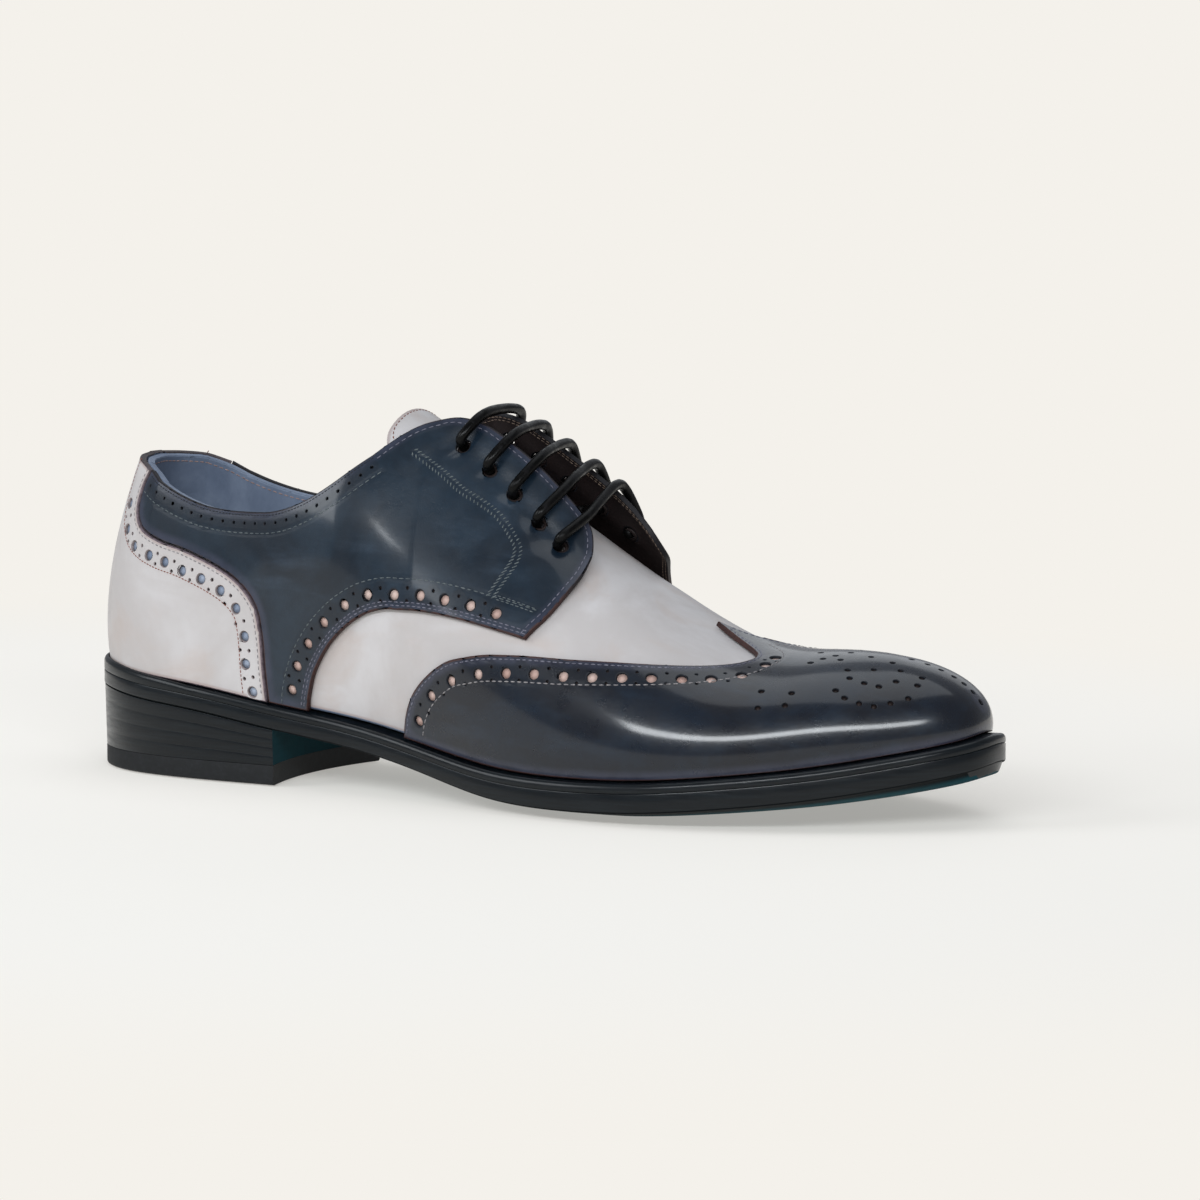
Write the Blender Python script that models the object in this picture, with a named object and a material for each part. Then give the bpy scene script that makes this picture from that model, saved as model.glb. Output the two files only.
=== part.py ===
"""Spectator shoe: a right-foot full brogue derby with a winged toe cap.

Metres, +Z up, toe towards +X, outer side of the foot towards -Y.
The origin is the middle of the heel's ground face.

The upper is worked out on a chart. Its first coordinate runs round the last: 0 at the back seam,
-1 to 0 along the outer side, 0 to 1 along the inner side, and -1 and 1 both at the toe.
Its second coordinate climbs the last: 0 at the sole and 1 at the ridge or the last's open top.
"""
import math

import bmesh
import bpy
import numpy as np
from mathutils import Matrix, Vector

MM = 0.001

# Overall sizes of the last and the sole
LENGTH = 293.8 * MM
BALL_WIDTH = 103 * MM
HEEL_SEAT = 21 * MM
TOE_SPRING = 14.6 * MM
TOP_HEIGHT = 112 * MM
HEEL_REST = 37 * MM

# Bottom unit
EDGE_THICKNESS = 8.4 * MM
EDGE_RISE = 2.6 * MM
EDGE_ROUND = 0.8 * MM
WAIST_THICKNESS = 7.1 * MM
WELT_THICKNESS = 2.6 * MM
WELT_REACH = 9 * MM
WELT_ROUND = 1.6 * MM
WELT_LEDGE = 4.6 * MM
TREAD_CROWN = 3.0 * MM
TREAD_SHARE = 0.55
HEEL_LENGTH = 77 * MM
HEEL_BREAST_CURVE = 4.5 * MM
HEEL_TOP_INSET = 0.2 * MM
HEEL_TAPER = 0.6 * MM
TOP_PIECE = 6 * MM
RAND_LIP = 1.7 * MM
RAND_WIDTH = 1.3 * MM
RAND_SLOPE = 0.2 * MM
RAND_END = 0.20
INSOLE_THICKNESS = 2.6 * MM

# Upper
WALL = 2.2 * MM
OVERLAY = 1.5 * MM
COUNTER_OVERLAY = 1.9 * MM
OVERLAY_FACE = 0.3 * MM
FACING_LIFT = 12.8 * MM
FACING_START = 0.50
FACING_EDGE = 0.36
FACING_BEND = 1.8
FACING_FORWARD = 0.12
FACING_SPREAD = 0.10
FOOT_CLEARANCE = 0.5 * MM
RIDGE_START = 0.40
RIDGE_END = 0.955
GAP = 0.5 * MM
SEAT_GAP = 0.4 * MM

# Eyelets and lace
EYELET = 4.6 * MM
LACE = 2.8 * MM
LACE_ARCH = 1.4 * MM
LACE_OVER = 2.5 * MM
LACE_UNDER = 3.6 * MM
LACE_STEP = 5 * MM
LACE_RISES = (1.0 * MM, 1.0 * MM, 3.0 * MM, 5.0 * MM)
FACING_RIM = 0.868

# Tongue
TONGUE_THICKNESS = 2.0 * MM

# Plan of the sole's edge. along: share of LENGTH; outer, inner: shares of BALL_WIDTH from the middle
# line; heel: share of HEEL_SEAT; toe: share of TOE_SPRING; thin: 0 at the full edge, 1 at the waist;
# ledge: share of WELT_LEDGE from the sole's edge to the foot of the upper.
PLAN_COLUMNS = ("round", "along", "outer", "inner", "heel", "toe", "thin", "ledge")
PLAN = np.array([
    (0.00, 0.000, 0.000, 0.000, 1.00, 0.00, 1.0, 0.63),
    (0.03, 0.009, 0.112, 0.112, 0.99, 0.00, 1.0, 0.59),
    (0.07, 0.039, 0.214, 0.214, 0.97, 0.00, 1.0, 0.52),
    (0.13, 0.090, 0.286, 0.286, 0.90, 0.00, 1.0, 0.48),
    (0.21, 0.167, 0.316, 0.311, 0.80, 0.00, 1.0, 0.48),
    (0.30, 0.260, 0.316, 0.286, 0.61, 0.00, 1.0, 0.48),
    (0.39, 0.354, 0.325, 0.267, 0.44, 0.00, 1.0, 0.52),
    (0.48, 0.448, 0.374, 0.316, 0.22, 0.00, 0.9, 0.65),
    (0.56, 0.534, 0.437, 0.413, 0.04, 0.00, 0.3, 0.83),
    (0.64, 0.619, 0.476, 0.490, 0.00, 0.00, 0.0, 0.93),
    (0.72, 0.705, 0.476, 0.524, 0.00, 0.06, 0.0, 0.98),
    (0.80, 0.793, 0.422, 0.500, 0.00, 0.23, 0.0, 1.00),
    (0.87, 0.871, 0.325, 0.417, 0.00, 0.43, 0.0, 1.00),
    (0.93, 0.943, 0.184, 0.296, 0.00, 0.69, 0.0, 0.96),
    (0.97, 0.991, 0.053, 0.160, 0.00, 0.91, 0.1, 0.89),
    (1.00, 1.000, -0.058, 0.058, 0.00, 0.99, 0.2, 0.87),
])

# Crown of the last. along: share of LENGTH; high: share of TOP_HEIGHT; half, swing: shares of
# BALL_WIDTH, the half gap of the open top and the ridge's shift to the inner side; droop: degrees
# below level at which the wall leaves the top.
CROWN_COLUMNS = ("round", "along", "high", "half", "swing", "droop")
CROWN = np.array([
    (0.00, 0.061, 0.929, 0.000, 0.000, 70),
    (0.03, 0.066, 0.929, 0.078, 0.000, 70),
    (0.07, 0.082, 0.931, 0.146, 0.000, 70),
    (0.13, 0.117, 0.939, 0.194, 0.000, 70),
    (0.21, 0.180, 0.960, 0.218, 0.000, 72),
    (0.30, 0.262, 0.987, 0.204, 0.000, 60),
    (0.39, 0.344, 1.000, 0.107, 0.000, 24),
    (0.48, 0.432, 0.924, 0.000, 0.005, 0),
    (0.56, 0.507, 0.799, 0.000, 0.010, 0),
    (0.64, 0.592, 0.650, 0.000, 0.019, 0),
    (0.72, 0.681, 0.502, 0.000, 0.029, 0),
    (0.80, 0.762, 0.416, 0.000, 0.039, 0),
    (0.87, 0.827, 0.411, 0.000, 0.049, 0),
    (0.93, 0.865, 0.411, 0.000, 0.053, 0),
    (0.97, 0.880, 0.408, 0.000, 0.058, 0),
    (1.00, 0.884, 0.407, 0.000, 0.058, 0),
])

# Fullness of the walls. lean: degrees outwards at the sole; pull, reach: shares of the wall's height
# over which it keeps its direction at the sole and at the top.
FULLNESS_COLUMNS = ("round", "lean_out", "pull_out", "reach_out", "lean_in", "pull_in", "reach_in")
FULLNESS = np.array([
    (0.00, 8, 0.34, 0.30, 8, 0.34, 0.30),
    (0.03, 8, 0.34, 0.30, 8, 0.34, 0.30),
    (0.07, 8, 0.34, 0.30, 8, 0.34, 0.30),
    (0.13, 8, 0.34, 0.30, 8, 0.34, 0.30),
    (0.21, 9, 0.36, 0.32, 8, 0.36, 0.32),
    (0.30, 10, 0.38, 0.34, 6, 0.38, 0.34),
    (0.39, 14, 0.40, 0.36, 6, 0.40, 0.36),
    (0.48, 16, 0.42, 0.32, 8, 0.42, 0.28),
    (0.56, 14, 0.42, 0.34, 10, 0.42, 0.28),
    (0.64, 12, 0.40, 0.36, 12, 0.40, 0.30),
    (0.72, 12, 0.38, 0.42, 12, 0.40, 0.36),
    (0.80, 12, 0.36, 0.48, 12, 0.38, 0.44),
    (0.87, 12, 0.36, 0.50, 12, 0.38, 0.48),
    (0.93, 10, 0.34, 0.48, 12, 0.36, 0.49),
    (0.97, 9, 0.31, 0.48, 10, 0.33, 0.48),
    (1.00, 9, 0.31, 0.48, 9, 0.31, 0.48),
])

# How far the facings stand off the last, as shares of FACING_LIFT.
FACING_COLUMNS = ("round", "outer", "inner")
FACING = np.array([
    (0.000, 0.00, 0.00),
    (0.400, 0.00, 0.00),
    (0.430, 0.16, 0.16),
    (0.460, 0.51, 0.51),
    (0.490, 0.78, 0.78),
    (0.530, 0.97, 0.97),
    (0.570, 1.00, 1.00),
    (0.600, 0.90, 1.00),
    (0.625, 0.62, 0.98),
    (0.650, 0.23, 0.85),
    (0.680, 0.00, 0.38),
    (0.700, 0.00, 0.00),
    (1.000, 0.00, 0.00),
])

# Lines on the chart, each point the share round and the share up
TOPLINE = [(0.0, 0.865), (0.045, 0.853), (0.075, 0.835), (0.107, 0.797), (0.131, 0.756),
           (0.166, 0.708), (0.204, 0.668), (0.237, 0.648), (0.271, 0.640), (0.304, 0.637),
           (0.338, 0.648), (0.365, 0.664), (0.390, 0.690), (0.422, 0.742)]
THROAT = [(0.422, 0.715), (0.470, 0.700), (0.520, 0.700), (0.555, 0.730), (0.572, 0.830), (0.578, 1.0)]
COUNTER_EDGE = [(0.293, 0.0), (0.292, 0.10), (0.291, 0.21), (0.284, 0.308), (0.263, 0.384),
                (0.231, 0.440), (0.190, 0.488), (0.153, 0.516), (0.119, 0.556), (0.103, 0.604),
                (0.097, 0.664), (0.099, 0.736), (0.107, 0.797)]
COUNTER_TOP = 0.11
SEAM_STEP = 0.0015
QUARTER_TOP = [(0.422, 0.742), (0.447, 0.802), (0.460, 0.825), (0.476, 0.840), (0.494, 0.855),
               (0.512, 0.865), (0.530, 0.868)]
OUTER_FACING = [(0.530, 0.868), (0.562, 0.868), (0.584, 0.868), (0.607, 0.868), (0.626, 0.871),
                (0.634, 0.866), (0.641, 0.830), (0.645, 0.770), (0.642, 0.658), (0.627, 0.508),
                (0.606, 0.388)]
OUTER_SWEEP = [(0.606, 0.388), (0.566, 0.368), (0.521, 0.344), (0.472, 0.320), (0.448, 0.312),
               (0.422, 0.292), (0.395, 0.252), (0.371, 0.196), (0.352, 0.120), (0.342, 0.044),
               (0.339, 0.0)]
INNER_FACING = [(0.530, 0.868), (0.570, 0.868), (0.600, 0.868), (0.630, 0.868), (0.652, 0.871),
                (0.663, 0.866), (0.670, 0.830), (0.668, 0.770), (0.656, 0.658), (0.640, 0.508),
                (0.620, 0.388)]
INNER_SWEEP = [(0.620, 0.388), (0.585, 0.372), (0.540, 0.352), (0.495, 0.332), (0.458, 0.314),
               (0.426, 0.285), (0.398, 0.236), (0.374, 0.170), (0.358, 0.100), (0.350, 0.044),
               (0.348, 0.0)]
WING_EDGE = [(0.452, 0.0), (0.460, 0.064), (0.473, 0.124), (0.493, 0.180), (0.518, 0.232),
             (0.541, 0.264), (0.566, 0.296), (0.596, 0.328), (0.652, 0.392), (0.702, 0.480),
             (0.746, 0.588), (0.777, 0.688), (0.790, 0.756), (0.794, 0.810), (0.790, 0.860),
             (0.778, 0.910), (0.762, 0.955), (0.742, 1.0)]
OUTER_EYELETS = [(0.510, 0.788), (0.544, 0.772), (0.572, 0.760), (0.598, 0.742), (0.619, 0.732)]
INNER_EYELETS = [(0.508, 0.788), (0.541, 0.776), (0.573, 0.768), (0.604, 0.760), (0.632, 0.752)]
OUTER_CROSSINGS = (0.518, 0.553, 0.581, 0.607, 0.628)
INNER_CROSSINGS = (0.516, 0.546, 0.573, 0.600, 0.624)

# Tongue. along: share of LENGTH; high: share of TOP_HEIGHT; half: share of BALL_WIDTH; crown: share
# of the half width by which the sides hang below the middle.
TONGUE_COLUMNS = ("along", "high", "half", "crown")
TONGUE = np.array([
    (0.575, 0.610, 0.110, 0.34),
    (0.534, 0.684, 0.126, 0.48),
    (0.501, 0.760, 0.140, 0.58),
    (0.460, 0.845, 0.140, 0.64),
    (0.418, 0.914, 0.151, 0.64),
    (0.388, 0.962, 0.180, 0.54),
    (0.366, 0.994, 0.185, 0.50),
])
TONGUE_CORNER = 0.75

# Chart lines that the solids share, so that their facets lie over each other
AROUND = [0.0, 0.015, 0.030, 0.050, 0.075, 0.100, 0.130, 0.165, 0.200, 0.235, 0.270, 0.305,
          0.340, 0.375, 0.410, 0.445, 0.480, 0.515, 0.550, 0.580, 0.610, 0.640, 0.670, 0.700, 0.730,
          0.765, 0.800, 0.835, 0.870, 0.900, 0.926, 0.948, 0.966, 0.982, 1.0]
UP = [0.0, 0.09, 0.19, 0.30, 0.41, 0.52, 0.62, 0.71, 0.80, 0.90, 1.0]
CHART_SHEAR = 0.02
BOTH_SIDES = [-a for a in reversed(AROUND[1:])] + AROUND


def clear_scene():
    for thing in list(bpy.data.objects):
        bpy.data.objects.remove(thing, do_unlink=True)


def material(name, colour, roughness):
    made = bpy.data.materials.new(name)
    made.use_nodes = True
    shader = made.node_tree.nodes["Principled BSDF"]
    shader.inputs["Base Color"].default_value = (*colour, 1.0)
    shader.inputs["Roughness"].default_value = roughness
    return made


def keep(bm, name, finish, weld=0.02 * MM):
    """Weld a solid's seams, turn its faces out and put it in the scene."""
    bmesh.ops.remove_doubles(bm, verts=bm.verts, dist=weld)
    bmesh.ops.recalc_face_normals(bm, faces=bm.faces)
    mesh = bpy.data.meshes.new(name)
    bm.to_mesh(mesh)
    bm.free()
    mesh.shade_smooth()
    mesh.set_sharp_from_angle(angle=math.radians(35))
    made = bpy.data.objects.new(name, mesh)
    bpy.context.scene.collection.objects.link(made)
    made.data.materials.append(finish)
    return made


def ring_spline(places, outer, inner):
    """Smooth closed curve through one value per place: outer side, back seam, inner side, toe."""
    knots = np.concatenate([-places[::-1], places[1:-1]])
    values = np.concatenate([outer[::-1], inner[1:-1]])
    count = len(knots)
    step = np.diff(np.append(knots, knots[0] + 2.0))
    rise = np.diff(np.append(values, values[0])) / step
    system = np.zeros((count, count))
    for i in range(count):
        before = i - 1
        system[i, before] += step[before]
        system[i, i] += 2.0 * (step[before] + step[i])
        system[i, (i + 1) % count] += step[i]
    bend = np.linalg.solve(system, 6.0 * (rise - np.roll(rise, 1)))

    def read(place):
        place = (np.asarray(place, float) + 1.0) % 2.0 - 1.0
        i = np.clip(np.searchsorted(knots, place, side="right") - 1, 0, count - 1)
        j = (i + 1) % count
        past = place - knots[i]
        left = step[i] - past
        return (bend[i] * left ** 3 / (6.0 * step[i]) + bend[j] * past ** 3 / (6.0 * step[i])
                + (values[i] / step[i] - bend[i] * step[i] / 6.0) * left
                + (values[j] / step[i] - bend[j] * step[i] / 6.0) * past)
    return read


def column(table, names, name):
    return table[:, names.index(name)]


def curve_of(table, names, outer, inner, outer_scale, inner_scale):
    """A table's column on the outer side joined to a column on the inner side."""
    return ring_spline(column(table, names, "round"), column(table, names, outer) * outer_scale,
                       column(table, names, inner) * inner_scale)


def plan_curve(name, scale):
    return curve_of(PLAN, PLAN_COLUMNS, name, name, scale, scale)


def crown_curve(name, scale):
    return curve_of(CROWN, CROWN_COLUMNS, name, name, scale, scale)


def fullness_curve(name):
    return curve_of(FULLNESS, FULLNESS_COLUMNS, name + "_out", name + "_in", 1.0, 1.0)


EDGE_X = plan_curve("along", LENGTH)
EDGE_Y = curve_of(PLAN, PLAN_COLUMNS, "outer", "inner", -BALL_WIDTH, BALL_WIDTH)
HEEL_SHARE = plan_curve("heel", 1.0)
TOE_SHARE = plan_curve("toe", 1.0)
THIN_SHARE = plan_curve("thin", 1.0)
LEDGE = plan_curve("ledge", WELT_LEDGE)
TOP_X = crown_curve("along", LENGTH)
TOP_Z = crown_curve("high", TOP_HEIGHT)
SWING = crown_curve("swing", BALL_WIDTH)
DROOP = crown_curve("droop", 1.0)
LEAN = fullness_curve("lean")
PULL = fullness_curve("pull")
REACH = fullness_curve("reach")


def half_gap(place):
    """Half the width of the last's open top; it closes between the cone and the instep."""
    halves = column(CROWN, CROWN_COLUMNS, "half")
    return np.interp(np.abs(place), column(CROWN, CROWN_COLUMNS, "round"), halves) * BALL_WIDTH


def feather(place):
    """Height of the welt's top, where the upper meets the bottom unit."""
    return EDGE_THICKNESS + EDGE_RISE + HEEL_SEAT * HEEL_SHARE(place) + TOE_SPRING * TOE_SHARE(place)


def outward(place):
    """Unit vector across the sole's edge, in plan."""
    step = 0.001
    along_x = EDGE_X(place + step) - EDGE_X(place - step)
    along_y = EDGE_Y(place + step) - EDGE_Y(place - step)
    size = np.hypot(along_x, along_y)
    return -along_y / size, along_x / size


def edge_point(place, inset, height):
    """A point set in from the sole's edge, at a height."""
    out_x, out_y = outward(place)
    return np.stack([EDGE_X(place) - out_x * inset - HEEL_REST, EDGE_Y(place) - out_y * inset,
                     np.broadcast_to(height, np.shape(place))], -1)


def ridge_slope(place):
    """How steeply the ridge falls towards the toe; the open top is level, the toe's end all one slope."""
    step = 0.001
    here = np.clip(np.abs(place), step, RIDGE_END)
    ahead = TOP_X(here + step) - TOP_X(here - step)
    fall = TOP_Z(here + step) - TOP_Z(here - step)
    return np.where(np.abs(place) < RIDGE_START, 0.0, fall / ahead)


def last_point(place, up):
    """The last's surface: each wall is one cubic curve from the sole to the top."""
    place = (np.asarray(place, float) + 1.0) % 2.0 - 1.0
    up = np.asarray(up, float)[..., None]
    side = np.sign(place)
    out_x, out_y = outward(place)
    foot = edge_point(place, LEDGE(place), feather(place) + FOOT_CLEARANCE)
    top = np.stack([TOP_X(place) - HEEL_REST, SWING(place) + side * half_gap(place), TOP_Z(place)], -1)
    height = np.linalg.norm(top - foot, axis=-1, keepdims=True)
    lean = np.radians(LEAN(place))
    droop = np.radians(DROOP(place))
    slope = ridge_slope(place)
    leave = np.stack([np.sin(lean) * out_x, np.sin(lean) * out_y, np.cos(lean)], -1)
    arrive = np.stack([np.cos(droop) * out_x, np.cos(droop) * out_y,
                       np.cos(droop) * slope * out_x - np.sin(droop)], -1)
    first = foot + leave * height * PULL(place)[..., None]
    second = top + arrive * height * REACH(place)[..., None]
    down = 1.0 - up
    return (down ** 3 * foot + 3 * down ** 2 * up * first + 3 * down * up ** 2 * second + up ** 3 * top)


def facing_lift(place):
    """How far a facing's edge stands off the last."""
    size = np.abs((np.asarray(place, float) + 1.0) % 2.0 - 1.0)
    rounds = column(FACING, FACING_COLUMNS, "round")
    outer = np.interp(size, rounds, column(FACING, FACING_COLUMNS, "outer"))
    inner = np.interp(size, rounds, column(FACING, FACING_COLUMNS, "inner"))
    return np.where(np.asarray(place) < 0, outer, inner) * FACING_LIFT


def quarter_point(place, up):
    """The quarters follow the last, and their facings stand off it."""
    climb = (np.clip(np.asarray(up, float) - FACING_START, 0.0, None) / FACING_EDGE) ** FACING_BEND
    lift = facing_lift(place) * climb
    side = np.sign(np.asarray(place, float))
    return last_point(place, up) + np.stack([FACING_FORWARD * lift, FACING_SPREAD * side * lift, lift], -1)


def normal(surface, place, up):
    """Outward normal; on the ridge it is shared by the two sides."""
    step = 0.002
    up = np.clip(up, step, 1.0 - 2 * step)
    across = surface(place + step, up) - surface(place - step, up)
    climb = surface(place, up + step) - surface(place, up - step)
    out = np.cross(climb, across)
    return out / np.linalg.norm(out, axis=-1, keepdims=True)


def wrap(bm, surface, inner, outer):
    """Lay a flat slab drawn on the chart round a surface; its height 0 to 1 becomes inner to outer."""
    flat = np.array([v.co for v in bm.verts])
    place, up, level = flat[:, 0], flat[:, 1], flat[:, 2]
    out = normal(surface, place, up)
    ridge = up > 0.999
    if ridge.any():
        both = out + normal(surface, -place, up)
        out[ridge] = (both / np.linalg.norm(both, axis=-1, keepdims=True))[ridge]
    depth = inner + (outer - inner) * level
    for vert, co in zip(bm.verts, surface(place, up) + out * depth[:, None]):
        vert.co = co


def smooth_line(points, parts=2):
    """More points on a line, on a curve that passes through each of its own."""
    points = np.array(points, float)
    ends = np.vstack([2 * points[0] - points[1], points, 2 * points[-1] - points[-2]])
    made = []
    for i in range(len(points) - 1):
        a, b, c, d = ends[i:i + 4]
        for t in np.arange(parts) / parts:
            made.append(0.5 * (2 * b + (c - a) * t + (2 * a - 5 * b + 4 * c - d) * t * t
                               + (3 * b - a - 3 * c + d) * t ** 3))
    made.append(points[-1])
    return [tuple(p) for p in made]


def shear(bm, amount):
    """Slants the chart, so that every cell has the same shorter diagonal."""
    for vert in bm.verts:
        vert.co.x += amount * vert.co.y


def slab(outlines, around, up):
    """A slab on the chart, one unit thick, cut along the shared chart lines."""
    bm = bmesh.new()
    for outline in outlines:
        bm.faces.new([bm.verts.new((a, b, 0.0)) for a, b in outline])
    lows = [min(v.co[i] for v in bm.verts) for i in (0, 1)]
    highs = [max(v.co[i] for v in bm.verts) for i in (0, 1)]
    for axis, lines in ((0, around), (1, up)):
        direction = Vector((1.0, 0.0, 0.0)) if axis == 0 else Vector((0.0, 1.0, 0.0))
        for line in lines:
            if lows[axis] + 1e-6 < line < highs[axis] - 1e-6:
                bmesh.ops.bisect_plane(bm, geom=bm.verts[:] + bm.edges[:] + bm.faces[:], dist=1e-5,
                                       plane_co=direction * line, plane_no=direction)
    shear(bm, CHART_SHEAR)
    bmesh.ops.triangulate(bm, faces=bm.faces[:], quad_method="SHORT_EDGE")
    shear(bm, -CHART_SHEAR)
    raised = bmesh.ops.extrude_face_region(bm, geom=bm.faces[:])
    bmesh.ops.translate(bm, vec=(0.0, 0.0, 1.0),
                        verts=[g for g in raised["geom"] if isinstance(g, bmesh.types.BMVert)])
    return bm


def open_seams(bm):
    """Take out the slab's walls along the ridge and the toe, where its two sides join."""
    seams = []
    for face in bm.faces:
        on_ridge = all(v.co.y > 0.9999 for v in face.verts)
        on_toe = all(abs(v.co.x) > 0.9999 for v in face.verts)
        if on_ridge or on_toe:
            seams.append(face)
    bmesh.ops.delete(bm, geom=seams, context="FACES")


def panel(name, outlines, surface, inner, outer, finish):
    bm = slab(outlines, BOTH_SIDES, UP)
    open_seams(bm)
    wrap(bm, surface, inner, outer)
    return keep(bm, name, finish)


def mirrored(line):
    return [(-a, b) for a, b in line]


def ring_grid(bm, places, levels, put):
    """A sheet of quads over two lists of values, each point placed by a function."""
    wide = len(places) - 1
    tall = len(levels) - 1
    made = bmesh.ops.create_grid(bm, x_segments=wide, y_segments=tall, size=1.0)["verts"]
    flat = np.array([v.co for v in made])
    place = np.interp((flat[:, 0] + 1) * wide / 2, np.arange(wide + 1), places)
    level = np.interp((flat[:, 1] + 1) * tall / 2, np.arange(tall + 1), levels)
    for vert, co in zip(made, put(place, level)):
        vert.co = co


def between(profile, places, number):
    """Reads a profile of (inset, height) pairs, each a function or a value, at a fractional row."""
    rows = np.array([np.stack([np.broadcast_to(p(places) if callable(p) else p, places.shape)
                               for p in pair], -1) for pair in profile])
    picked = np.round(number).astype(int)
    return rows[picked, np.arange(len(places))]


def lathe_round(bm, places, profile):
    """A skirt round the sole's edge: one ring of points for each pair of the profile."""
    def put(place, level):
        inset, height = between(profile, place, level).T
        return edge_point(place, inset, height)
    ring_grid(bm, places, list(range(len(profile))), put)


def cap(bm, places, inset, height, middle=None, shares=(-1.0, 1.0)):
    """Closes a ring with ribs from the outer side to the inner side."""
    def put(place, share):
        sides = []
        for sign in (-1.0, 1.0):
            here = sign * place
            set_in = inset(here) if callable(inset) else inset
            sides.append(edge_point(here, set_in, height(here)))
        mix = (share[:, None] + 1.0) / 2.0
        point = sides[0] * (1.0 - mix) + sides[1] * mix
        if middle is not None:
            inside = np.abs(share) < 0.999
            point[inside, 2] = middle(place[inside])
        return point
    ring_grid(bm, places, list(shares), put)


def sole_bottom(place):
    """Height of the outsole's lower edge."""
    return feather(place) - EDGE_THICKNESS - (WAIST_THICKNESS - EDGE_THICKNESS) * THIN_SHARE(place)


def make_outsole(finish):
    def top(place):
        return feather(place) - WELT_THICKNESS - SEAT_GAP

    def seat(place):
        return feather(place) - SEAT_GAP

    def tread(place):
        return np.maximum(sole_bottom(place) - TREAD_CROWN * (1.0 - THIN_SHARE(place)), 0.0)

    bm = bmesh.new()
    plateau = WELT_REACH + 2 * SEAT_GAP
    profile = [(EDGE_ROUND, sole_bottom), (0.0, lambda p: sole_bottom(p) + EDGE_ROUND), (0.0, top),
               (plateau, top), (plateau, seat)]
    lathe_round(bm, BOTH_SIDES, profile)
    cap(bm, AROUND, EDGE_ROUND, sole_bottom, middle=tread, shares=(-1.0, -TREAD_SHARE, TREAD_SHARE, 1.0))
    cap(bm, AROUND, plateau, seat)
    return keep(bm, "outsole", finish)


def make_welt(finish):
    def lip(place):
        behind = np.clip(1.0 - np.abs(place) / RAND_END, 0.0, 1.0)
        return feather(place) + RAND_LIP * behind ** 0.7

    def base(place):
        return feather(place) - WELT_THICKNESS

    bm = bmesh.new()
    profile = [(WELT_REACH, base), (0.0, base), (0.0, lambda p: lip(p) - WELT_ROUND),
               (0.45 * WELT_ROUND, lambda p: lip(p) - 0.25 * WELT_ROUND),
               (RAND_WIDTH, lip), (RAND_WIDTH + RAND_SLOPE, feather), (WELT_REACH, feather),
               (WELT_REACH, base)]
    lathe_round(bm, BOTH_SIDES, profile)
    return keep(bm, "welt", finish)


def breast_share(corner):
    """Chart place on the sole's edge where the heel's breast starts."""
    places = np.linspace(0.0, 0.6, 601)
    return float(np.interp(corner, EDGE_X(places), places))


def heel_solid(name, finish, low, high, taper_low, taper_high):
    """A slice of the heel between two heights, with its concave breast."""
    corner = breast_share(HEEL_LENGTH)
    side = [a for a in AROUND if a < corner - 0.01] + [corner]
    around = np.array([-a for a in reversed(side[1:])] + side)
    steps = np.linspace(0.0, 1.0, 9)[1:-1]
    bm = bmesh.new()

    def outline(inset, height):
        rim = edge_point(around, inset, height(around))
        start, end = rim[-1], rim[0]
        breast = start + (end - start) * steps[:, None]
        breast[:, 0] -= HEEL_BREAST_CURVE * 4 * steps * (1 - steps)
        breast[:, 2] = np.interp(breast[:, 0], [rim[:, 0].min(), start[0]], [height(0.0), height(corner)])
        return np.vstack([rim, breast])

    loops = []
    for inset, height in ((taper_low, low), (taper_high, high)):
        verts = [bm.verts.new(p) for p in outline(inset, height)]
        loops.append(verts)
    for i in range(len(loops[0])):
        j = (i + 1) % len(loops[0])
        bm.faces.new((loops[0][i], loops[0][j], loops[1][j], loops[1][i]))
    close_ribs(bm, loops, len(around))
    return keep(bm, name, finish)


def close_ribs(bm, loops, rim_count):
    """Closes the heel's two outlines with ribs from side to side, then with the breast's fan."""
    for loop in loops:
        rim = loop[:rim_count]
        breast = loop[rim_count:]
        middle = rim_count // 2
        for k in range(middle):
            left, right = rim[middle - k], rim[middle + k]
            next_left, next_right = rim[middle - k - 1], rim[middle + k + 1]
            if k == 0:
                bm.faces.new((left, next_left, next_right))
            elif k < middle - 1:
                bm.faces.new((left, next_left, next_right, right))
            else:
                bm.faces.new((left, next_left, *reversed(breast), next_right, right))


def make_heel(stack_finish, piece_finish):
    def level(height):
        return lambda place: np.full(np.shape(place), height)

    def seat(place):
        return sole_bottom(place) - SEAT_GAP

    heel_solid("heel_stack", stack_finish, level(TOP_PIECE + SEAT_GAP), seat, HEEL_TAPER, HEEL_TOP_INSET)
    heel_solid("top_piece", piece_finish, level(0.0), level(TOP_PIECE), HEEL_TAPER, HEEL_TAPER)


def make_insole(finish):
    def inset(place):
        return LEDGE(place) + OVERLAY + WALL + 3 * GAP

    def low(place):
        return feather(place) + SEAT_GAP

    def high(place):
        return low(place) + INSOLE_THICKNESS

    bm = bmesh.new()
    lathe_round(bm, BOTH_SIDES, [(inset, low), (inset, high)])
    cap(bm, AROUND, inset, low)
    cap(bm, AROUND, inset, high)
    return keep(bm, "insole", finish)


def make_upper(finish):
    edge = smooth_line(TOPLINE) + smooth_line(THROAT)
    outline = [(-1.0, 0.0), (1.0, 0.0), (1.0, 1.0)] + edge[::-1] + mirrored(edge[1:]) + [(-1.0, 1.0)]
    face = OVERLAY_FACE - OVERLAY - GAP
    return panel("upper", [outline], last_point, face - WALL, face, finish)


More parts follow.
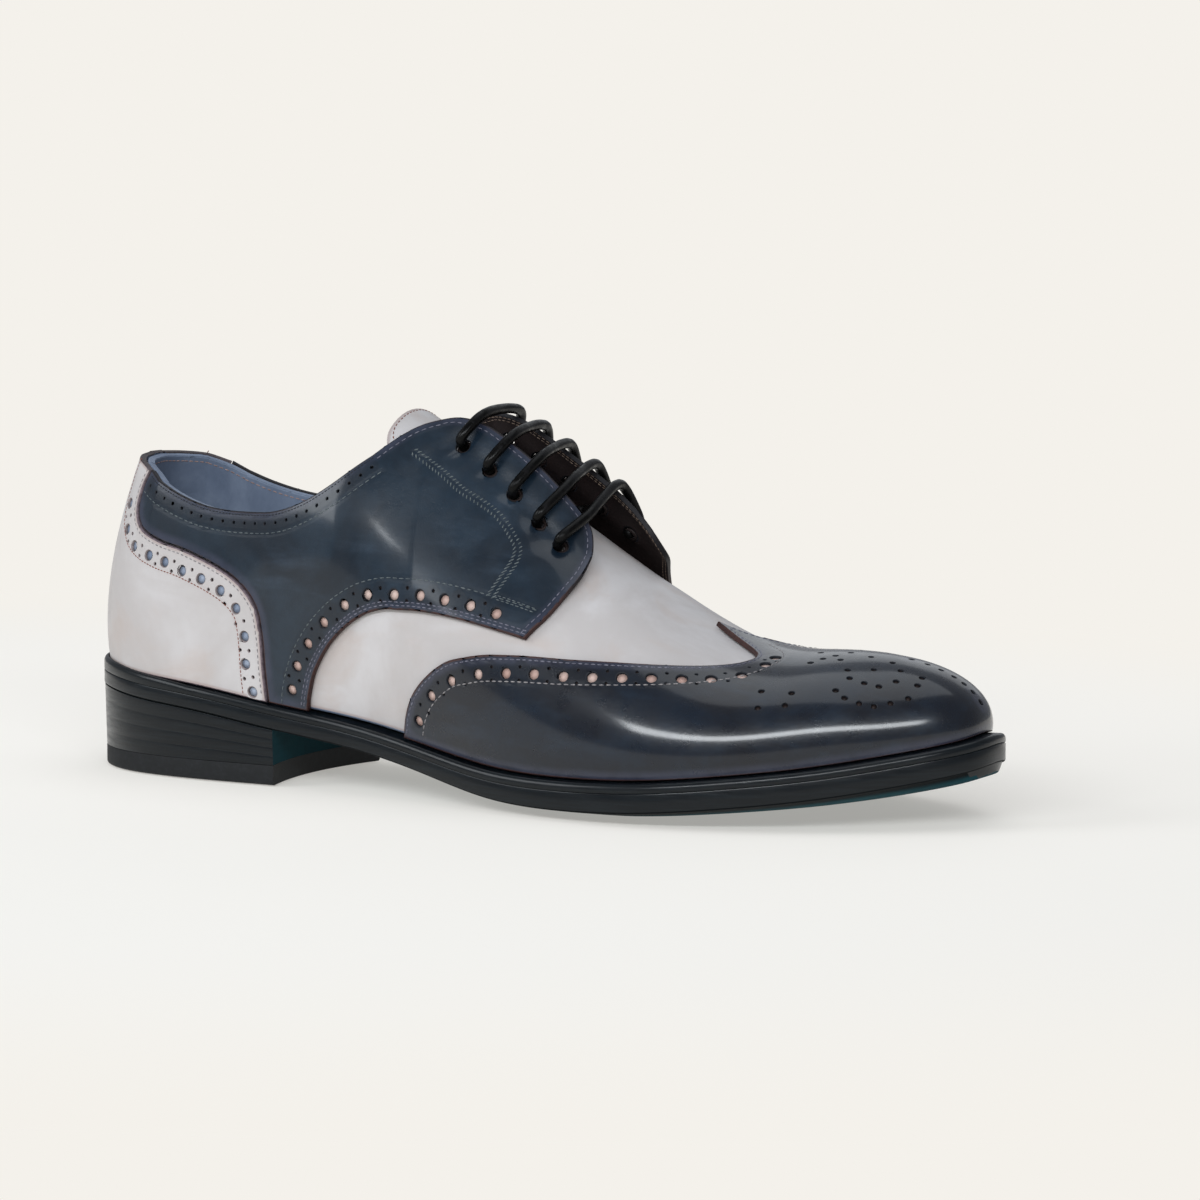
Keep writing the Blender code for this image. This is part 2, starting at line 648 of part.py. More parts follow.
def make_quarter(name, facing, sweep, eyelets, side, finish):
    """One quarter with its facing; side is -1 for the outer one."""
    seam = [(a + SEAM_STEP, b + 2 * SEAM_STEP) for a, b in smooth_line(COUNTER_EDGE)]
    seam[0] = (seam[0][0], 0.0)
    top = [p for p in TOPLINE if p[0] > COUNTER_TOP]
    outline = seam + smooth_line(top)[:-1] + smooth_line(QUARTER_TOP)[:-1] + smooth_line(facing)[:-1]
    outline += smooth_line(sweep)
    outline = [(side * a, b) for a, b in outline]
    made = panel(name, [outline], quarter_point, OVERLAY_FACE - OVERLAY, OVERLAY_FACE, finish)
    punch(made, eyelets, side)
    return made


def eyelet_frames(eyelets, side):
    places = np.array([side * a for a, b in eyelets])
    ups = np.array([b for a, b in eyelets])
    return quarter_point(places, ups), normal(quarter_point, places, ups)


def punch(made, eyelets, side):
    """Cuts round eyelet holes square through the facing."""
    bm = bmesh.new()
    for centre, out in zip(*eyelet_frames(eyelets, side)):
        turn = Vector(out).to_track_quat("Z", "Y").to_matrix().to_4x4()
        bmesh.ops.create_cone(bm, cap_ends=True, segments=12, radius1=EYELET / 2, radius2=EYELET / 2,
                              depth=6 * OVERLAY, matrix=Matrix.Translation(centre) @ turn)
    mesh = bpy.data.meshes.new(made.name + "_holes")
    bm.to_mesh(mesh)
    bm.free()
    cutter = bpy.data.objects.new(made.name + "_holes", mesh)
    bpy.context.scene.collection.objects.link(cutter)
    cutter.hide_render = True
    cutter.display_type = "WIRE"
    cut = made.modifiers.new("eyelets", "BOOLEAN")
    cut.object = cutter
    cut.solver = "EXACT"


def make_counter(finish):
    edge = smooth_line(COUNTER_EDGE)
    top = smooth_line([p for p in TOPLINE if p[0] < COUNTER_TOP])
    outline = edge[:-1] + top[::-1] + mirrored(top[1:]) + mirrored(edge[:-1])[::-1]
    back = OVERLAY_FACE - OVERLAY
    return panel("counter", [outline], last_point, back, back + COUNTER_OVERLAY, finish)


def make_wing_cap(finish):
    edge = smooth_line(WING_EDGE)
    half = edge + [(1.0, 1.0), (1.0, 0.0)]
    return panel("wing_cap", [half, mirrored(half)[::-1]], last_point, OVERLAY_FACE - OVERLAY, OVERLAY_FACE,
                 finish)


def tongue_point(share, across):
    """A point on the tongue's upper face: share along it, across from -1 to 1."""
    stations = np.linspace(0.0, 1.0, len(TONGUE))
    along, high, half, crown = (np.interp(share, stations, column(TONGUE, TONGUE_COLUMNS, name))
                                for name in TONGUE_COLUMNS)
    half = half * BALL_WIDTH
    turn = across * 2 * np.arctan(crown)
    reach = np.sin(2 * np.arctan(crown))
    return np.stack([along * LENGTH - HEEL_REST, half * np.sin(turn) / reach,
                     high * TOP_HEIGHT - half * (1 - np.cos(turn)) / reach], -1)


def make_tongue(finish):
    bm = bmesh.new()
    shares = np.linspace(0.0, 1.0, 13)
    across = np.linspace(-1.0, 1.0, 9)

    def put(depth):
        def at(share, side):
            narrow = np.where(share > 0.95, TONGUE_CORNER, 1.0)
            point = tongue_point(share, side * narrow)
            slope = tongue_point(share + 0.01, side) - tongue_point(share - 0.01, side)
            edge = tongue_point(share, side + 0.01) - tongue_point(share, side - 0.01)
            down = np.cross(slope, edge)
            down /= np.linalg.norm(down, axis=-1, keepdims=True)
            down *= -np.sign(down[:, 2:3])
            return point + down * depth
        return at

    ring_grid(bm, shares, across, put(0.0))
    ring_grid(bm, shares, across, put(TONGUE_THICKNESS))
    rims = [e for e in bm.edges if e.is_boundary]
    bmesh.ops.bridge_loops(bm, edges=rims)
    return keep(bm, "tongue", finish)


def over_facing(crossing, side):
    """A point of the lace just clear of the facing's edge."""
    place = np.array([side * crossing])
    up = np.array([FACING_RIM])
    out = normal(quarter_point, place, up)[0]
    return quarter_point(place, up)[0] + out * LACE_OVER


def lace_route():
    """Five bars over the throat and the runs below the facings that join them."""
    outer, outer_out = eyelet_frames(OUTER_EYELETS, -1)
    inner, inner_out = eyelet_frames(INNER_EYELETS, 1)
    route = []
    for i in range(len(OUTER_EYELETS)):
        rims = over_facing(OUTER_CROSSINGS[i], -1), over_facing(INNER_CROSSINGS[i], 1)
        middle = (rims[0] + rims[1]) / 2
        middle[2] += LACE_ARCH
        depths = np.array([-LACE_UNDER, 0.0, LACE_OVER])
        route += [outer[i] + outer_out[i] * depth for depth in depths]
        route += [rims[0], middle, rims[1]]
        route += [inner[i] + inner_out[i] * depth for depth in depths[::-1]]
        if i < len(OUTER_EYELETS) - 1:
            start = inner[i] - inner_out[i] * LACE_UNDER
            end = outer[i + 1] - outer_out[i + 1] * LACE_UNDER
            across = (start + end) / 2
            across[2] += LACE_RISES[i]
            route.append(across)
    return route


def make_lace(finish):
    """One round waxed cord on a smooth curve through its route."""
    route = lace_route()
    fine = np.array(smooth_line([tuple(p) for p in route], 2))
    points = []
    for i, point in enumerate(fine):
        own = i % 2 == 0
        if own or np.linalg.norm(fine[i + 1] - fine[i - 1]) > LACE_STEP:
            points.append(point)
    curve = bpy.data.curves.new("lace", "CURVE")
    curve.dimensions = "3D"
    curve.bevel_depth = LACE / 2
    curve.bevel_resolution = 2
    curve.use_fill_caps = True
    spline = curve.splines.new("POLY")
    spline.points.add(len(points) - 1)
    for target, co in zip(spline.points, points):
        target.co = (*co, 1.0)
    made = bpy.data.objects.new("lace", curve)
    bpy.context.scene.collection.objects.link(made)
    curve.materials.append(finish)
    return made


def main():
    clear_scene()
    navy = material("navy_leather", (0.022, 0.033, 0.052), 0.25)
    pale = material("pale_leather", (0.66, 0.61, 0.58), 0.45)
    black = material("sole_edge", (0.008, 0.011, 0.013), 0.35)
    rubber = material("top_piece", (0.010, 0.012, 0.014), 0.6)
    lining = material("lining", (0.10, 0.13, 0.18), 0.6)
    cord = material("waxed_cord", (0.006, 0.006, 0.007), 0.45)
    make_outsole(black)
    make_welt(black)
    make_heel(black, rubber)
    make_insole(lining)
    make_upper(pale)
    make_counter(pale)
    make_wing_cap(navy)
    make_quarter("quarter_lateral", OUTER_FACING, OUTER_SWEEP, OUTER_EYELETS, -1, navy)
    make_quarter("quarter_medial", INNER_FACING, INNER_SWEEP, INNER_EYELETS, 1, navy)
    make_tongue(pale)
    make_lace(cord)


main()
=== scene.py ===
"""Looks of the spectator shoe: a right-foot full brogue derby with a winged toe cap.

Metres, +Z up, toe towards +X, outer side of the foot towards -Y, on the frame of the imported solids.

The upper is worked out on a chart. Its first coordinate runs round the last: 0 at the back seam,
-1 to 0 along the outer side, 0 to 1 along the inner side, and -1 and 1 both at the toe.
Its second coordinate climbs the last: 0 at the sole and 1 at the ridge or the last's open top.
Leather is cut flat on the chart, in millimetres, and then drawn over the last.
"""

import math

import bmesh
import bpy
import numpy as np
from mathutils import Matrix, Vector, kdtree


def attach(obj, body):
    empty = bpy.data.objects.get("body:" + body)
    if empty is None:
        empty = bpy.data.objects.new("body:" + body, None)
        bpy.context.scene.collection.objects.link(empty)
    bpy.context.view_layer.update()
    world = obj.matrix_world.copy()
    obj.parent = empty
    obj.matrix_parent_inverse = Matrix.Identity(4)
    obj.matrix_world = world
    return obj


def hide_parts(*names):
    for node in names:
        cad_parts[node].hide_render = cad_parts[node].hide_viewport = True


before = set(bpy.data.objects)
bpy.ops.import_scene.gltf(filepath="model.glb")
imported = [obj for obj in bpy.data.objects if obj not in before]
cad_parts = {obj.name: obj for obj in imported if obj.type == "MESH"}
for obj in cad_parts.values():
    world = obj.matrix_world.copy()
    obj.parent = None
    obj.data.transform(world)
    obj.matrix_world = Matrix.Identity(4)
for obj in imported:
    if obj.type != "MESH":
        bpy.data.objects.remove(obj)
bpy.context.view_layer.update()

MM = 0.001

# Overall sizes of the last and the sole
LENGTH = 293.8 * MM
BALL_WIDTH = 103 * MM
HEEL_SEAT = 21 * MM
TOE_SPRING = 14.6 * MM
TOP_HEIGHT = 112 * MM
HEEL_REST = 37 * MM

# Bottom unit
EDGE_THICKNESS = 8.4 * MM
EDGE_RISE = 2.6 * MM
EDGE_ROUND = 0.9 * MM
WAIST_THICKNESS = 7.1 * MM
WELT_THICKNESS = 2.6 * MM
WELT_REACH = 9 * MM
WELT_ROUND = 1.6 * MM
WELT_LEDGE = 4.6 * MM
TREAD_CROWN = 3.0 * MM
TREAD_SHARE = 0.55
HEEL_LENGTH = 77 * MM
HEEL_BREAST_CURVE = 4.5 * MM
HEEL_TOP_INSET = 0.2 * MM
HEEL_TAPER = 0.6 * MM
TOP_PIECE = 6 * MM
LIFTS = 4
LIFT_GROOVE = 0.05 * MM
RAND_LIP = 1.7 * MM
RAND_WIDTH = 1.3 * MM
RAND_SLOPE = 0.2 * MM
RAND_END = 0.20
INSOLE_THICKNESS = 2.6 * MM
SEAT_GAP = 0.4 * MM

# Upper
WALL = 2.2 * MM
OVERLAY = 1.5 * MM
COUNTER_OVERLAY = 1.9 * MM
OVERLAY_FACE = 0.3 * MM
FACING_LIFT = 12.8 * MM
FACING_START = 0.50
FACING_EDGE = 0.36
FACING_BEND = 1.8
FACING_FORWARD = 0.12
FACING_SPREAD = 0.10
FOOT_CLEARANCE = 0.5 * MM
RIDGE_START = 0.40
RIDGE_END = 0.955
GAP = 0.5 * MM

# Leather: the cells of the flat sheet in millimetres, and how far its cut edges are rounded over
VAMP_CELL, VAMP_SOFT = 2.0, 0.7 * MM
OVERLAY_CELL, OVERLAY_SOFT = 1.5, 0.4 * MM
COUNTER_SOFT = 0.45 * MM
QUARTER_CELL = 1.2

# Eyelets and lace
EYELET = 4.4 * MM
LACE = 3.1 * MM
LACE_ARCH = 1.4 * MM
LACE_OVER = 2.5 * MM
LACE_UNDER = 3.6 * MM
LACE_RISES = (1.0 * MM, 1.0 * MM, 3.0 * MM, 5.0 * MM)
FACING_RIM = 0.868
LACE_STEP = 0.9 * MM
CORD_TURNS = 400.0
# A dark ring inside each eyelet, in millimetres: its radius, and its height above the surface that
# the quarters are drawn over
EYELET_LINING = [(2.3, -1.2), (2.2, -0.35), (1.3, -0.6), (1.3, -1.4)]

# Tongue
TONGUE_THICKNESS = 2.0 * MM
TONGUE_CELL, TONGUE_SOFT = 1.8, 0.5 * MM
TONGUE_WIDE, TONGUE_TALL = 15.0, 75.0
TONGUE_SHOULDER = 0.30
TONGUE_ARCH = 0.07

# The chart laid flat: millimetres of leather for one unit round and one unit up
CHART_WIDE = 300.0
CHART_TALL = 80.0

# Steps on the chart: those over which slopes are taken, those over which the facing's lift is
# averaged, and those round the sole
OUTWARD_STEP = 0.015
RIDGE_STEP = 0.001
SLOPE_STEP = 0.002
LIFT_SPREAD = 0.02
LIFT_READINGS = 7
ROUND_STEPS = np.linspace(-1.0, 1.0, 361)

# Plan of the sole's edge. along: share of LENGTH; outer, inner: shares of BALL_WIDTH from the middle
# line; heel: share of HEEL_SEAT; toe: share of TOE_SPRING; thin: 0 at the full edge, 1 at the waist;
# ledge: share of WELT_LEDGE from the sole's edge to the foot of the upper.
PLAN_COLUMNS = ("round", "along", "outer", "inner", "heel", "toe", "thin", "ledge")
PLAN = np.array([
    (0.00, 0.000, 0.000, 0.000, 1.00, 0.00, 1.0, 0.63),
    (0.03, 0.009, 0.112, 0.112, 0.99, 0.00, 1.0, 0.59),
    (0.07, 0.039, 0.214, 0.214, 0.97, 0.00, 1.0, 0.52),
    (0.13, 0.090, 0.286, 0.286, 0.90, 0.00, 1.0, 0.48),
    (0.21, 0.167, 0.316, 0.311, 0.80, 0.00, 1.0, 0.48),
    (0.30, 0.260, 0.316, 0.286, 0.61, 0.00, 1.0, 0.48),
    (0.39, 0.354, 0.325, 0.267, 0.44, 0.00, 1.0, 0.52),
    (0.48, 0.448, 0.374, 0.316, 0.22, 0.00, 0.9, 0.65),
    (0.56, 0.534, 0.437, 0.413, 0.04, 0.00, 0.3, 0.83),
    (0.64, 0.619, 0.476, 0.490, 0.00, 0.00, 0.0, 0.93),
    (0.72, 0.705, 0.476, 0.524, 0.00, 0.06, 0.0, 0.98),
    (0.80, 0.793, 0.422, 0.500, 0.00, 0.23, 0.0, 1.00),
    (0.87, 0.871, 0.325, 0.417, 0.00, 0.43, 0.0, 1.00),
    (0.93, 0.943, 0.184, 0.296, 0.00, 0.69, 0.0, 0.96),
    (0.97, 0.991, 0.053, 0.160, 0.00, 0.91, 0.1, 0.89),
    (1.00, 1.000, -0.058, 0.058, 0.00, 0.99, 0.2, 0.87),
])

# Crown of the last. along: share of LENGTH; high: share of TOP_HEIGHT; half, swing: shares of
# BALL_WIDTH, the half gap of the open top and the ridge's shift to the inner side; droop: degrees
# below level at which the wall leaves the top.
CROWN_COLUMNS = ("round", "along", "high", "half", "swing", "droop")
CROWN = np.array([
    (0.00, 0.061, 0.929, 0.000, 0.000, 70),
    (0.03, 0.066, 0.929, 0.078, 0.000, 70),
    (0.07, 0.082, 0.931, 0.146, 0.000, 70),
    (0.13, 0.117, 0.939, 0.194, 0.000, 70),
    (0.21, 0.180, 0.960, 0.218, 0.000, 72),
    (0.30, 0.262, 0.987, 0.204, 0.000, 60),
    (0.39, 0.344, 1.000, 0.107, 0.000, 24),
    (0.48, 0.432, 0.924, 0.000, 0.005, 0),
    (0.56, 0.507, 0.799, 0.000, 0.010, 0),
    (0.64, 0.592, 0.650, 0.000, 0.019, 0),
    (0.72, 0.681, 0.502, 0.000, 0.029, 0),
    (0.80, 0.762, 0.416, 0.000, 0.039, 0),
    (0.87, 0.827, 0.411, 0.000, 0.049, 0),
    (0.93, 0.865, 0.411, 0.000, 0.053, 0),
    (0.97, 0.880, 0.408, 0.000, 0.058, 0),
    (1.00, 0.884, 0.407, 0.000, 0.058, 0),
])

# Fullness of the walls. lean: degrees outwards at the sole; pull, reach: shares of the wall's height
# over which it keeps its direction at the sole and at the top.
FULLNESS_COLUMNS = ("round", "lean_out", "pull_out", "reach_out", "lean_in", "pull_in", "reach_in")
FULLNESS = np.array([
    (0.00, 8, 0.34, 0.30, 8, 0.34, 0.30),
    (0.03, 8, 0.34, 0.30, 8, 0.34, 0.30),
    (0.07, 8, 0.34, 0.30, 8, 0.34, 0.30),
    (0.13, 8, 0.34, 0.30, 8, 0.34, 0.30),
    (0.21, 9, 0.36, 0.32, 8, 0.36, 0.32),
    (0.30, 10, 0.38, 0.34, 6, 0.38, 0.34),
    (0.39, 14, 0.40, 0.36, 6, 0.40, 0.36),
    (0.48, 16, 0.42, 0.32, 8, 0.42, 0.28),
    (0.56, 14, 0.42, 0.34, 10, 0.42, 0.28),
    (0.64, 12, 0.40, 0.36, 12, 0.40, 0.30),
    (0.72, 12, 0.38, 0.42, 12, 0.40, 0.36),
    (0.80, 12, 0.36, 0.48, 12, 0.38, 0.44),
    (0.87, 12, 0.36, 0.50, 12, 0.38, 0.48),
    (0.93, 10, 0.34, 0.48, 12, 0.36, 0.49),
    (0.97, 9, 0.31, 0.48, 10, 0.33, 0.48),
    (1.00, 9, 0.31, 0.48, 9, 0.31, 0.48),
])

# How far the facings stand off the last, as shares of FACING_LIFT.
FACING_COLUMNS = ("round", "outer", "inner")
FACING = np.array([
    (0.000, 0.00, 0.00),
    (0.400, 0.00, 0.00),
    (0.430, 0.16, 0.16),
    (0.460, 0.51, 0.51),
    (0.490, 0.78, 0.78),
    (0.530, 0.97, 0.97),
    (0.570, 1.00, 1.00),
    (0.600, 0.90, 1.00),
    (0.625, 0.62, 0.98),
    (0.650, 0.23, 0.85),
    (0.680, 0.00, 0.38),
    (0.700, 0.00, 0.00),
    (1.000, 0.00, 0.00),
])

# Lines on the chart, each point the share round and the share up
TOPLINE = [(0.0, 0.865), (0.045, 0.853), (0.075, 0.835), (0.107, 0.797), (0.131, 0.756),
           (0.166, 0.708), (0.204, 0.668), (0.237, 0.648), (0.271, 0.640), (0.304, 0.637),
           (0.338, 0.648), (0.365, 0.664), (0.390, 0.690), (0.422, 0.742)]
THROAT = [(0.422, 0.715), (0.470, 0.700), (0.520, 0.700), (0.555, 0.730), (0.572, 0.830), (0.578, 1.0)]
COUNTER_EDGE = [(0.293, 0.0), (0.292, 0.10), (0.291, 0.21), (0.284, 0.308), (0.263, 0.384),
                (0.231, 0.440), (0.190, 0.488), (0.153, 0.516), (0.119, 0.556), (0.103, 0.604),
                (0.097, 0.664), (0.099, 0.736), (0.107, 0.797)]
COUNTER_TOP = 0.11
SEAM_STEP = 0.0015
QUARTER_TOP = [(0.422, 0.742), (0.447, 0.802), (0.460, 0.825), (0.476, 0.840), (0.494, 0.855),
               (0.512, 0.865), (0.530, 0.868)]
OUTER_FACING = [(0.530, 0.868), (0.562, 0.868), (0.584, 0.868), (0.607, 0.868), (0.626, 0.871),
                (0.634, 0.866), (0.641, 0.830), (0.645, 0.770), (0.642, 0.658), (0.627, 0.508),
                (0.606, 0.388)]
OUTER_SWEEP = [(0.606, 0.388), (0.566, 0.368), (0.521, 0.344), (0.472, 0.320), (0.448, 0.312),
               (0.422, 0.292), (0.395, 0.252), (0.371, 0.196), (0.352, 0.120), (0.342, 0.044),
               (0.339, 0.0)]
INNER_FACING = [(0.530, 0.868), (0.570, 0.868), (0.600, 0.868), (0.630, 0.868), (0.652, 0.871),
                (0.663, 0.866), (0.670, 0.830), (0.668, 0.770), (0.656, 0.658), (0.640, 0.508),
                (0.620, 0.388)]
INNER_SWEEP = [(0.620, 0.388), (0.585, 0.372), (0.540, 0.352), (0.495, 0.332), (0.458, 0.314),
               (0.426, 0.285), (0.398, 0.236), (0.374, 0.170), (0.358, 0.100), (0.350, 0.044),
               (0.348, 0.0)]
WING_EDGE = [(0.452, 0.0), (0.460, 0.064), (0.473, 0.124), (0.493, 0.180), (0.518, 0.232),
             (0.541, 0.264), (0.566, 0.296), (0.596, 0.328), (0.652, 0.392), (0.702, 0.480),
             (0.746, 0.588), (0.777, 0.688), (0.790, 0.756), (0.794, 0.810), (0.790, 0.860),
             (0.778, 0.910), (0.762, 0.955), (0.742, 1.0)]
OUTER_EYELETS = [(0.510, 0.788), (0.544, 0.772), (0.572, 0.760), (0.598, 0.742), (0.619, 0.732)]
INNER_EYELETS = [(0.508, 0.788), (0.541, 0.776), (0.573, 0.768), (0.604, 0.760), (0.632, 0.752)]
OUTER_CROSSINGS = (0.518, 0.553, 0.581, 0.607, 0.628)
INNER_CROSSINGS = (0.516, 0.546, 0.573, 0.600, 0.624)

# Tongue. along: share of LENGTH; high: share of TOP_HEIGHT; half: share of BALL_WIDTH; crown: share
# of the half width by which the sides hang below the middle.
TONGUE_COLUMNS = ("along", "high", "half", "crown")
TONGUE = np.array([
    (0.575, 0.610, 0.110, 0.34),
    (0.534, 0.684, 0.126, 0.48),
    (0.501, 0.760, 0.140, 0.58),
    (0.460, 0.845, 0.140, 0.64),
    (0.418, 0.914, 0.151, 0.64),
    (0.388, 0.962, 0.180, 0.54),
    (0.366, 0.994, 0.185, 0.50),
])

# The ways in which soft marks push the leather: up, and on the facings also aside
MARK_UP = np.array([0.0, 0.0, 0.75])
MARK_ASIDE = np.array([0.0, 0.66, 0.0])

# Soft troughs and ridges, each: round, up, half length mm, half width mm, turn in degrees, height mm
VAMP_MARKS = [
    (0.612, 0.640, 15.0, 4.0, 62.0, -0.30),
    (0.652, 0.700, 13.0, 3.6, 66.0, -0.26),
    (0.590, 0.480, 12.0, 5.0, 30.0, 0.22),
    (0.690, 0.780, 12.0, 4.5, 70.0, 0.16),
    (0.400, 0.140, 12.0, 6.0, 20.0, -0.22),
]
FACING_MARKS = [
    (0.505, 0.560, 15.0, 6.0, -32.0, -0.16),
    (0.450, 0.480, 17.0, 7.0, -24.0, 0.14),
    (0.610, 0.600, 9.0, 4.0, 80.0, -0.12),
]
# The same at each eyelet, from its own place: the pull of the lace, a fold and the ridge beside it
EYELET_MARKS = [
    (0.0, 0.0, 4.4, 3.4, -14.0, -1.20),
    (-0.013, -0.030, 6.0, 2.6, 48.0, -0.80),
    (-0.025, 0.014, 7.0, 2.4, 48.0, 0.40),
]
ZIGZAG_MARK = (2.2, 1.3, 0.0, -0.07)

# Zigzag seam behind the facing, and the short double row at its foot
ZIGZAG = [(0.463, 0.735), (0.480, 0.710), (0.508, 0.688), (0.528, 0.678), (0.549, 0.682),
          (0.567, 0.678), (0.580, 0.658), (0.588, 0.635), (0.588, 0.595), (0.580, 0.528),
          (0.570, 0.455)]
ZIGZAG_FOOT = [(0.576, 0.465), (0.594, 0.477), (0.613, 0.488)]

# Punched holes: shares round and up, and the radius in millimetres
BAND_HOLE = 1.55
COUNTER_HOLE = 1.5
PIN_HOLE = 0.42
MEDALLION_HOLE = 0.8
STRAP_HOLE = 0.85
# Millimetres by which pinholes stand off their row, the collar's pitch and its bare ends; and how deep the
# backings, and the dark pads of painted shade in the pinholes, lie below the leather's face
BAND_PINS = 1.9
COUNTER_PINS = 1.6
COLLAR_PITCH = 4.1
COLLAR_ENDS = 2.0
HOLE_DEPTH = 0.75 * MM
PIN_DEPTH = 0.55 * MM
COUNTER_PIN_DEPTH = 0.5 * MM
WING_HOLES = [(0.476, 0.060), (0.497, 0.136), (0.524, 0.192), (0.556, 0.236), (0.587, 0.268),
              (0.616, 0.296), (0.645, 0.324), (0.672, 0.360), (0.698, 0.404), (0.722, 0.452),
              (0.746, 0.500), (0.769, 0.548), (0.792, 0.616), (0.807, 0.732), (0.812, 0.816)]
COUNTER_HOLES = [(0.075, 0.652), (0.085, 0.548), (0.109, 0.488), (0.139, 0.460), (0.165, 0.440),
                 (0.191, 0.412), (0.217, 0.388), (0.242, 0.352), (0.262, 0.296), (0.272, 0.204),
                 (0.272, 0.112), (0.278, 0.024)]
SWEEP_HOLES = [(0.323, 0.056), (0.332, 0.132), (0.348, 0.204), (0.371, 0.268), (0.400, 0.316),
               (0.430, 0.344), (0.461, 0.352), (0.492, 0.368), (0.521, 0.384), (0.550, 0.404),
               (0.577, 0.420)]
MEDALLION = [(0.815, 0.500), (0.841, 0.484), (0.839, 0.396), (0.817, 0.384), (0.878, 0.496),
             (0.887, 0.436), (0.900, 0.392), (0.912, 0.364), (0.925, 0.380), (0.939, 0.408),
             (0.936, 0.568), (0.952, 0.520), (0.918, 0.524), (0.904, 0.556), (0.889, 0.600),
             (0.917, 0.692), (0.886, 0.680), (0.949, 0.688), (0.962, 0.596), (0.854, 0.916),
             (0.871, 0.860), (0.892, 0.932), (0.858, 0.812), (0.847, 0.762), (0.877, 0.800),
             (0.922, 0.872), (0.950, 0.800)]
MEDALLION_TOE = [0.860, 0.756, 0.660, 0.560, 0.470, 0.376, 0.270]
STRAP_HOLES = [(0.022, 0.80)]
PUNCH_SIDES = 16

# Rows of stitches and pins: the row, the edge that it follows and its distance in millimetres
ROW_PLAN = [
    ("wing_edge", "wing", 1.3),
    ("wing_inner", "wing", 7.6),
    ("counter_edge", "counter", -1.4),
    ("counter_inner", "counter", -8.0),
    ("sweep_edge", "sweep", 1.3),
    ("sweep_edge", "sweep", 2.3),
    ("sweep_inner", "sweep", 9.2),
    ("collar_edge", "collar", 1.1),
    ("collar_pins", "collar", 3.5),
    ("collar_inner", "collar", 6.4),
    ("collar_lining", "topline", 1.8),
    ("facing", "front", 2.0),
    ("facing_brim", "front", 0.9),
]
# Half the distance between the two rows at the facing's foot, and the steps between a line's points
FOOT_ROW = 0.6
ROW_PARTS = 4

# Threads: the darker and the lighter colour
THREADS = {
    "light": ((0.16, 0.15, 0.16), (0.32, 0.30, 0.30)),
    "violet": ((0.085, 0.085, 0.115), (0.20, 0.20, 0.25)),
    "brown": ((0.14, 0.040, 0.026), (0.26, 0.10, 0.07)),
    "tan": ((0.10, 0.070, 0.055), (0.24, 0.18, 0.14)),
    "grey": ((0.055, 0.070, 0.078), (0.13, 0.15, 0.155)),
    "dark": ((0.006, 0.007, 0.010), (0.018, 0.020, 0.027)),
    "beige": ((0.26, 0.17, 0.15), (0.42, 0.29, 0.26)),
}

# Where stitches lie, in millimetres above the overlays' face
STITCH_LEVELS = {
    "face": 0.0,
    "counter": (COUNTER_OVERLAY - OVERLAY) / MM,
    "under": -OVERLAY / MM - 0.02,
    "inside": -(OVERLAY + GAP + WALL) / MM - 0.02,
}
# Pieces of stitching: name, thread, surface, level, rows, and pitch, length and thickness in millimetres
STITCHES = [
    ("wing_edge_stitches", "violet", "last", "face", ("wing_edge",), 1.9, 1.35, 0.40),
    ("wing_inner_stitches", "light", "last", "face", ("wing_inner",), 2.1, 1.5, 0.42),
    ("counter_edge_stitches", "light", "last", "counter", ("counter_edge",), 1.8, 1.25, 0.38),
    ("counter_inner_stitches", "brown", "last", "counter", ("counter_inner",), 1.25, 1.0, 0.34),
    ("sweep_edge_stitches", "violet", "quarters", "face", ("sweep_edge",), 1.9, 1.35, 0.36),
    ("sweep_inner_stitches", "grey", "quarters", "face", ("sweep_inner",), 2.1, 1.5, 0.38),
    ("collar_edge_stitches", "dark", "quarters", "face", ("collar_edge",), 1.2, 0.95, 0.34),
    ("collar_inner_stitches", "grey", "quarters", "face", ("collar_inner",), 2.1, 1.5, 0.36),
    ("facing_stitches", "violet", "quarters", "face", ("facing",), 2.2, 1.6, 0.36),
    ("facing_foot_stitches", "grey", "quarters", "face", ("facing_foot",), 1.6, 1.2, 0.36),
    ("facing_lining_stitches", "tan", "quarters", "under", ("facing", "facing_brim"), 1.6, 1.3, 0.34),
    ("collar_lining_stitches", "beige", "last", "inside", ("collar_lining",), 2.0, 1.5, 0.40),
]
# The zigzag's legs: where they start and end beside the seam, their pitch and their thickness
ZIGZAG_NEAR, ZIGZAG_FAR, ZIGZAG_PITCH, ZIGZAG_THICK = 0.45, 1.35, 1.35, 0.44

# Studio: colours are linear; each light has a place, an aim, two sides in metres and its power
BACKGROUND = (0.905, 0.880, 0.831, 1.0)
WORLD_LIGHT = 0.30
WORLD_COLOUR = (0.90, 0.93, 1.0, 1.0)
LAMP_COLOUR = (0.93, 0.97, 1.0)
SOFTBOXES = [
    ("key_strip", (0.557, -1.27, 0.74), (0.12, 0.0, 0.05), (1.70, 0.20), 18.0),
    ("heel_fill", (-1.05, -1.00, 0.85), (0.05, 0.0, 0.05), (0.80, 0.80), 9.0),
    ("top_softbox", (0.15, 0.20, 1.35), (0.12, 0.0, 0.03), (1.20, 1.00), 4.0),
    ("back_glow", (-0.35, 1.45, 0.80), (0.12, 0.0, 0.05), (1.60, 0.80), 2.0),
]
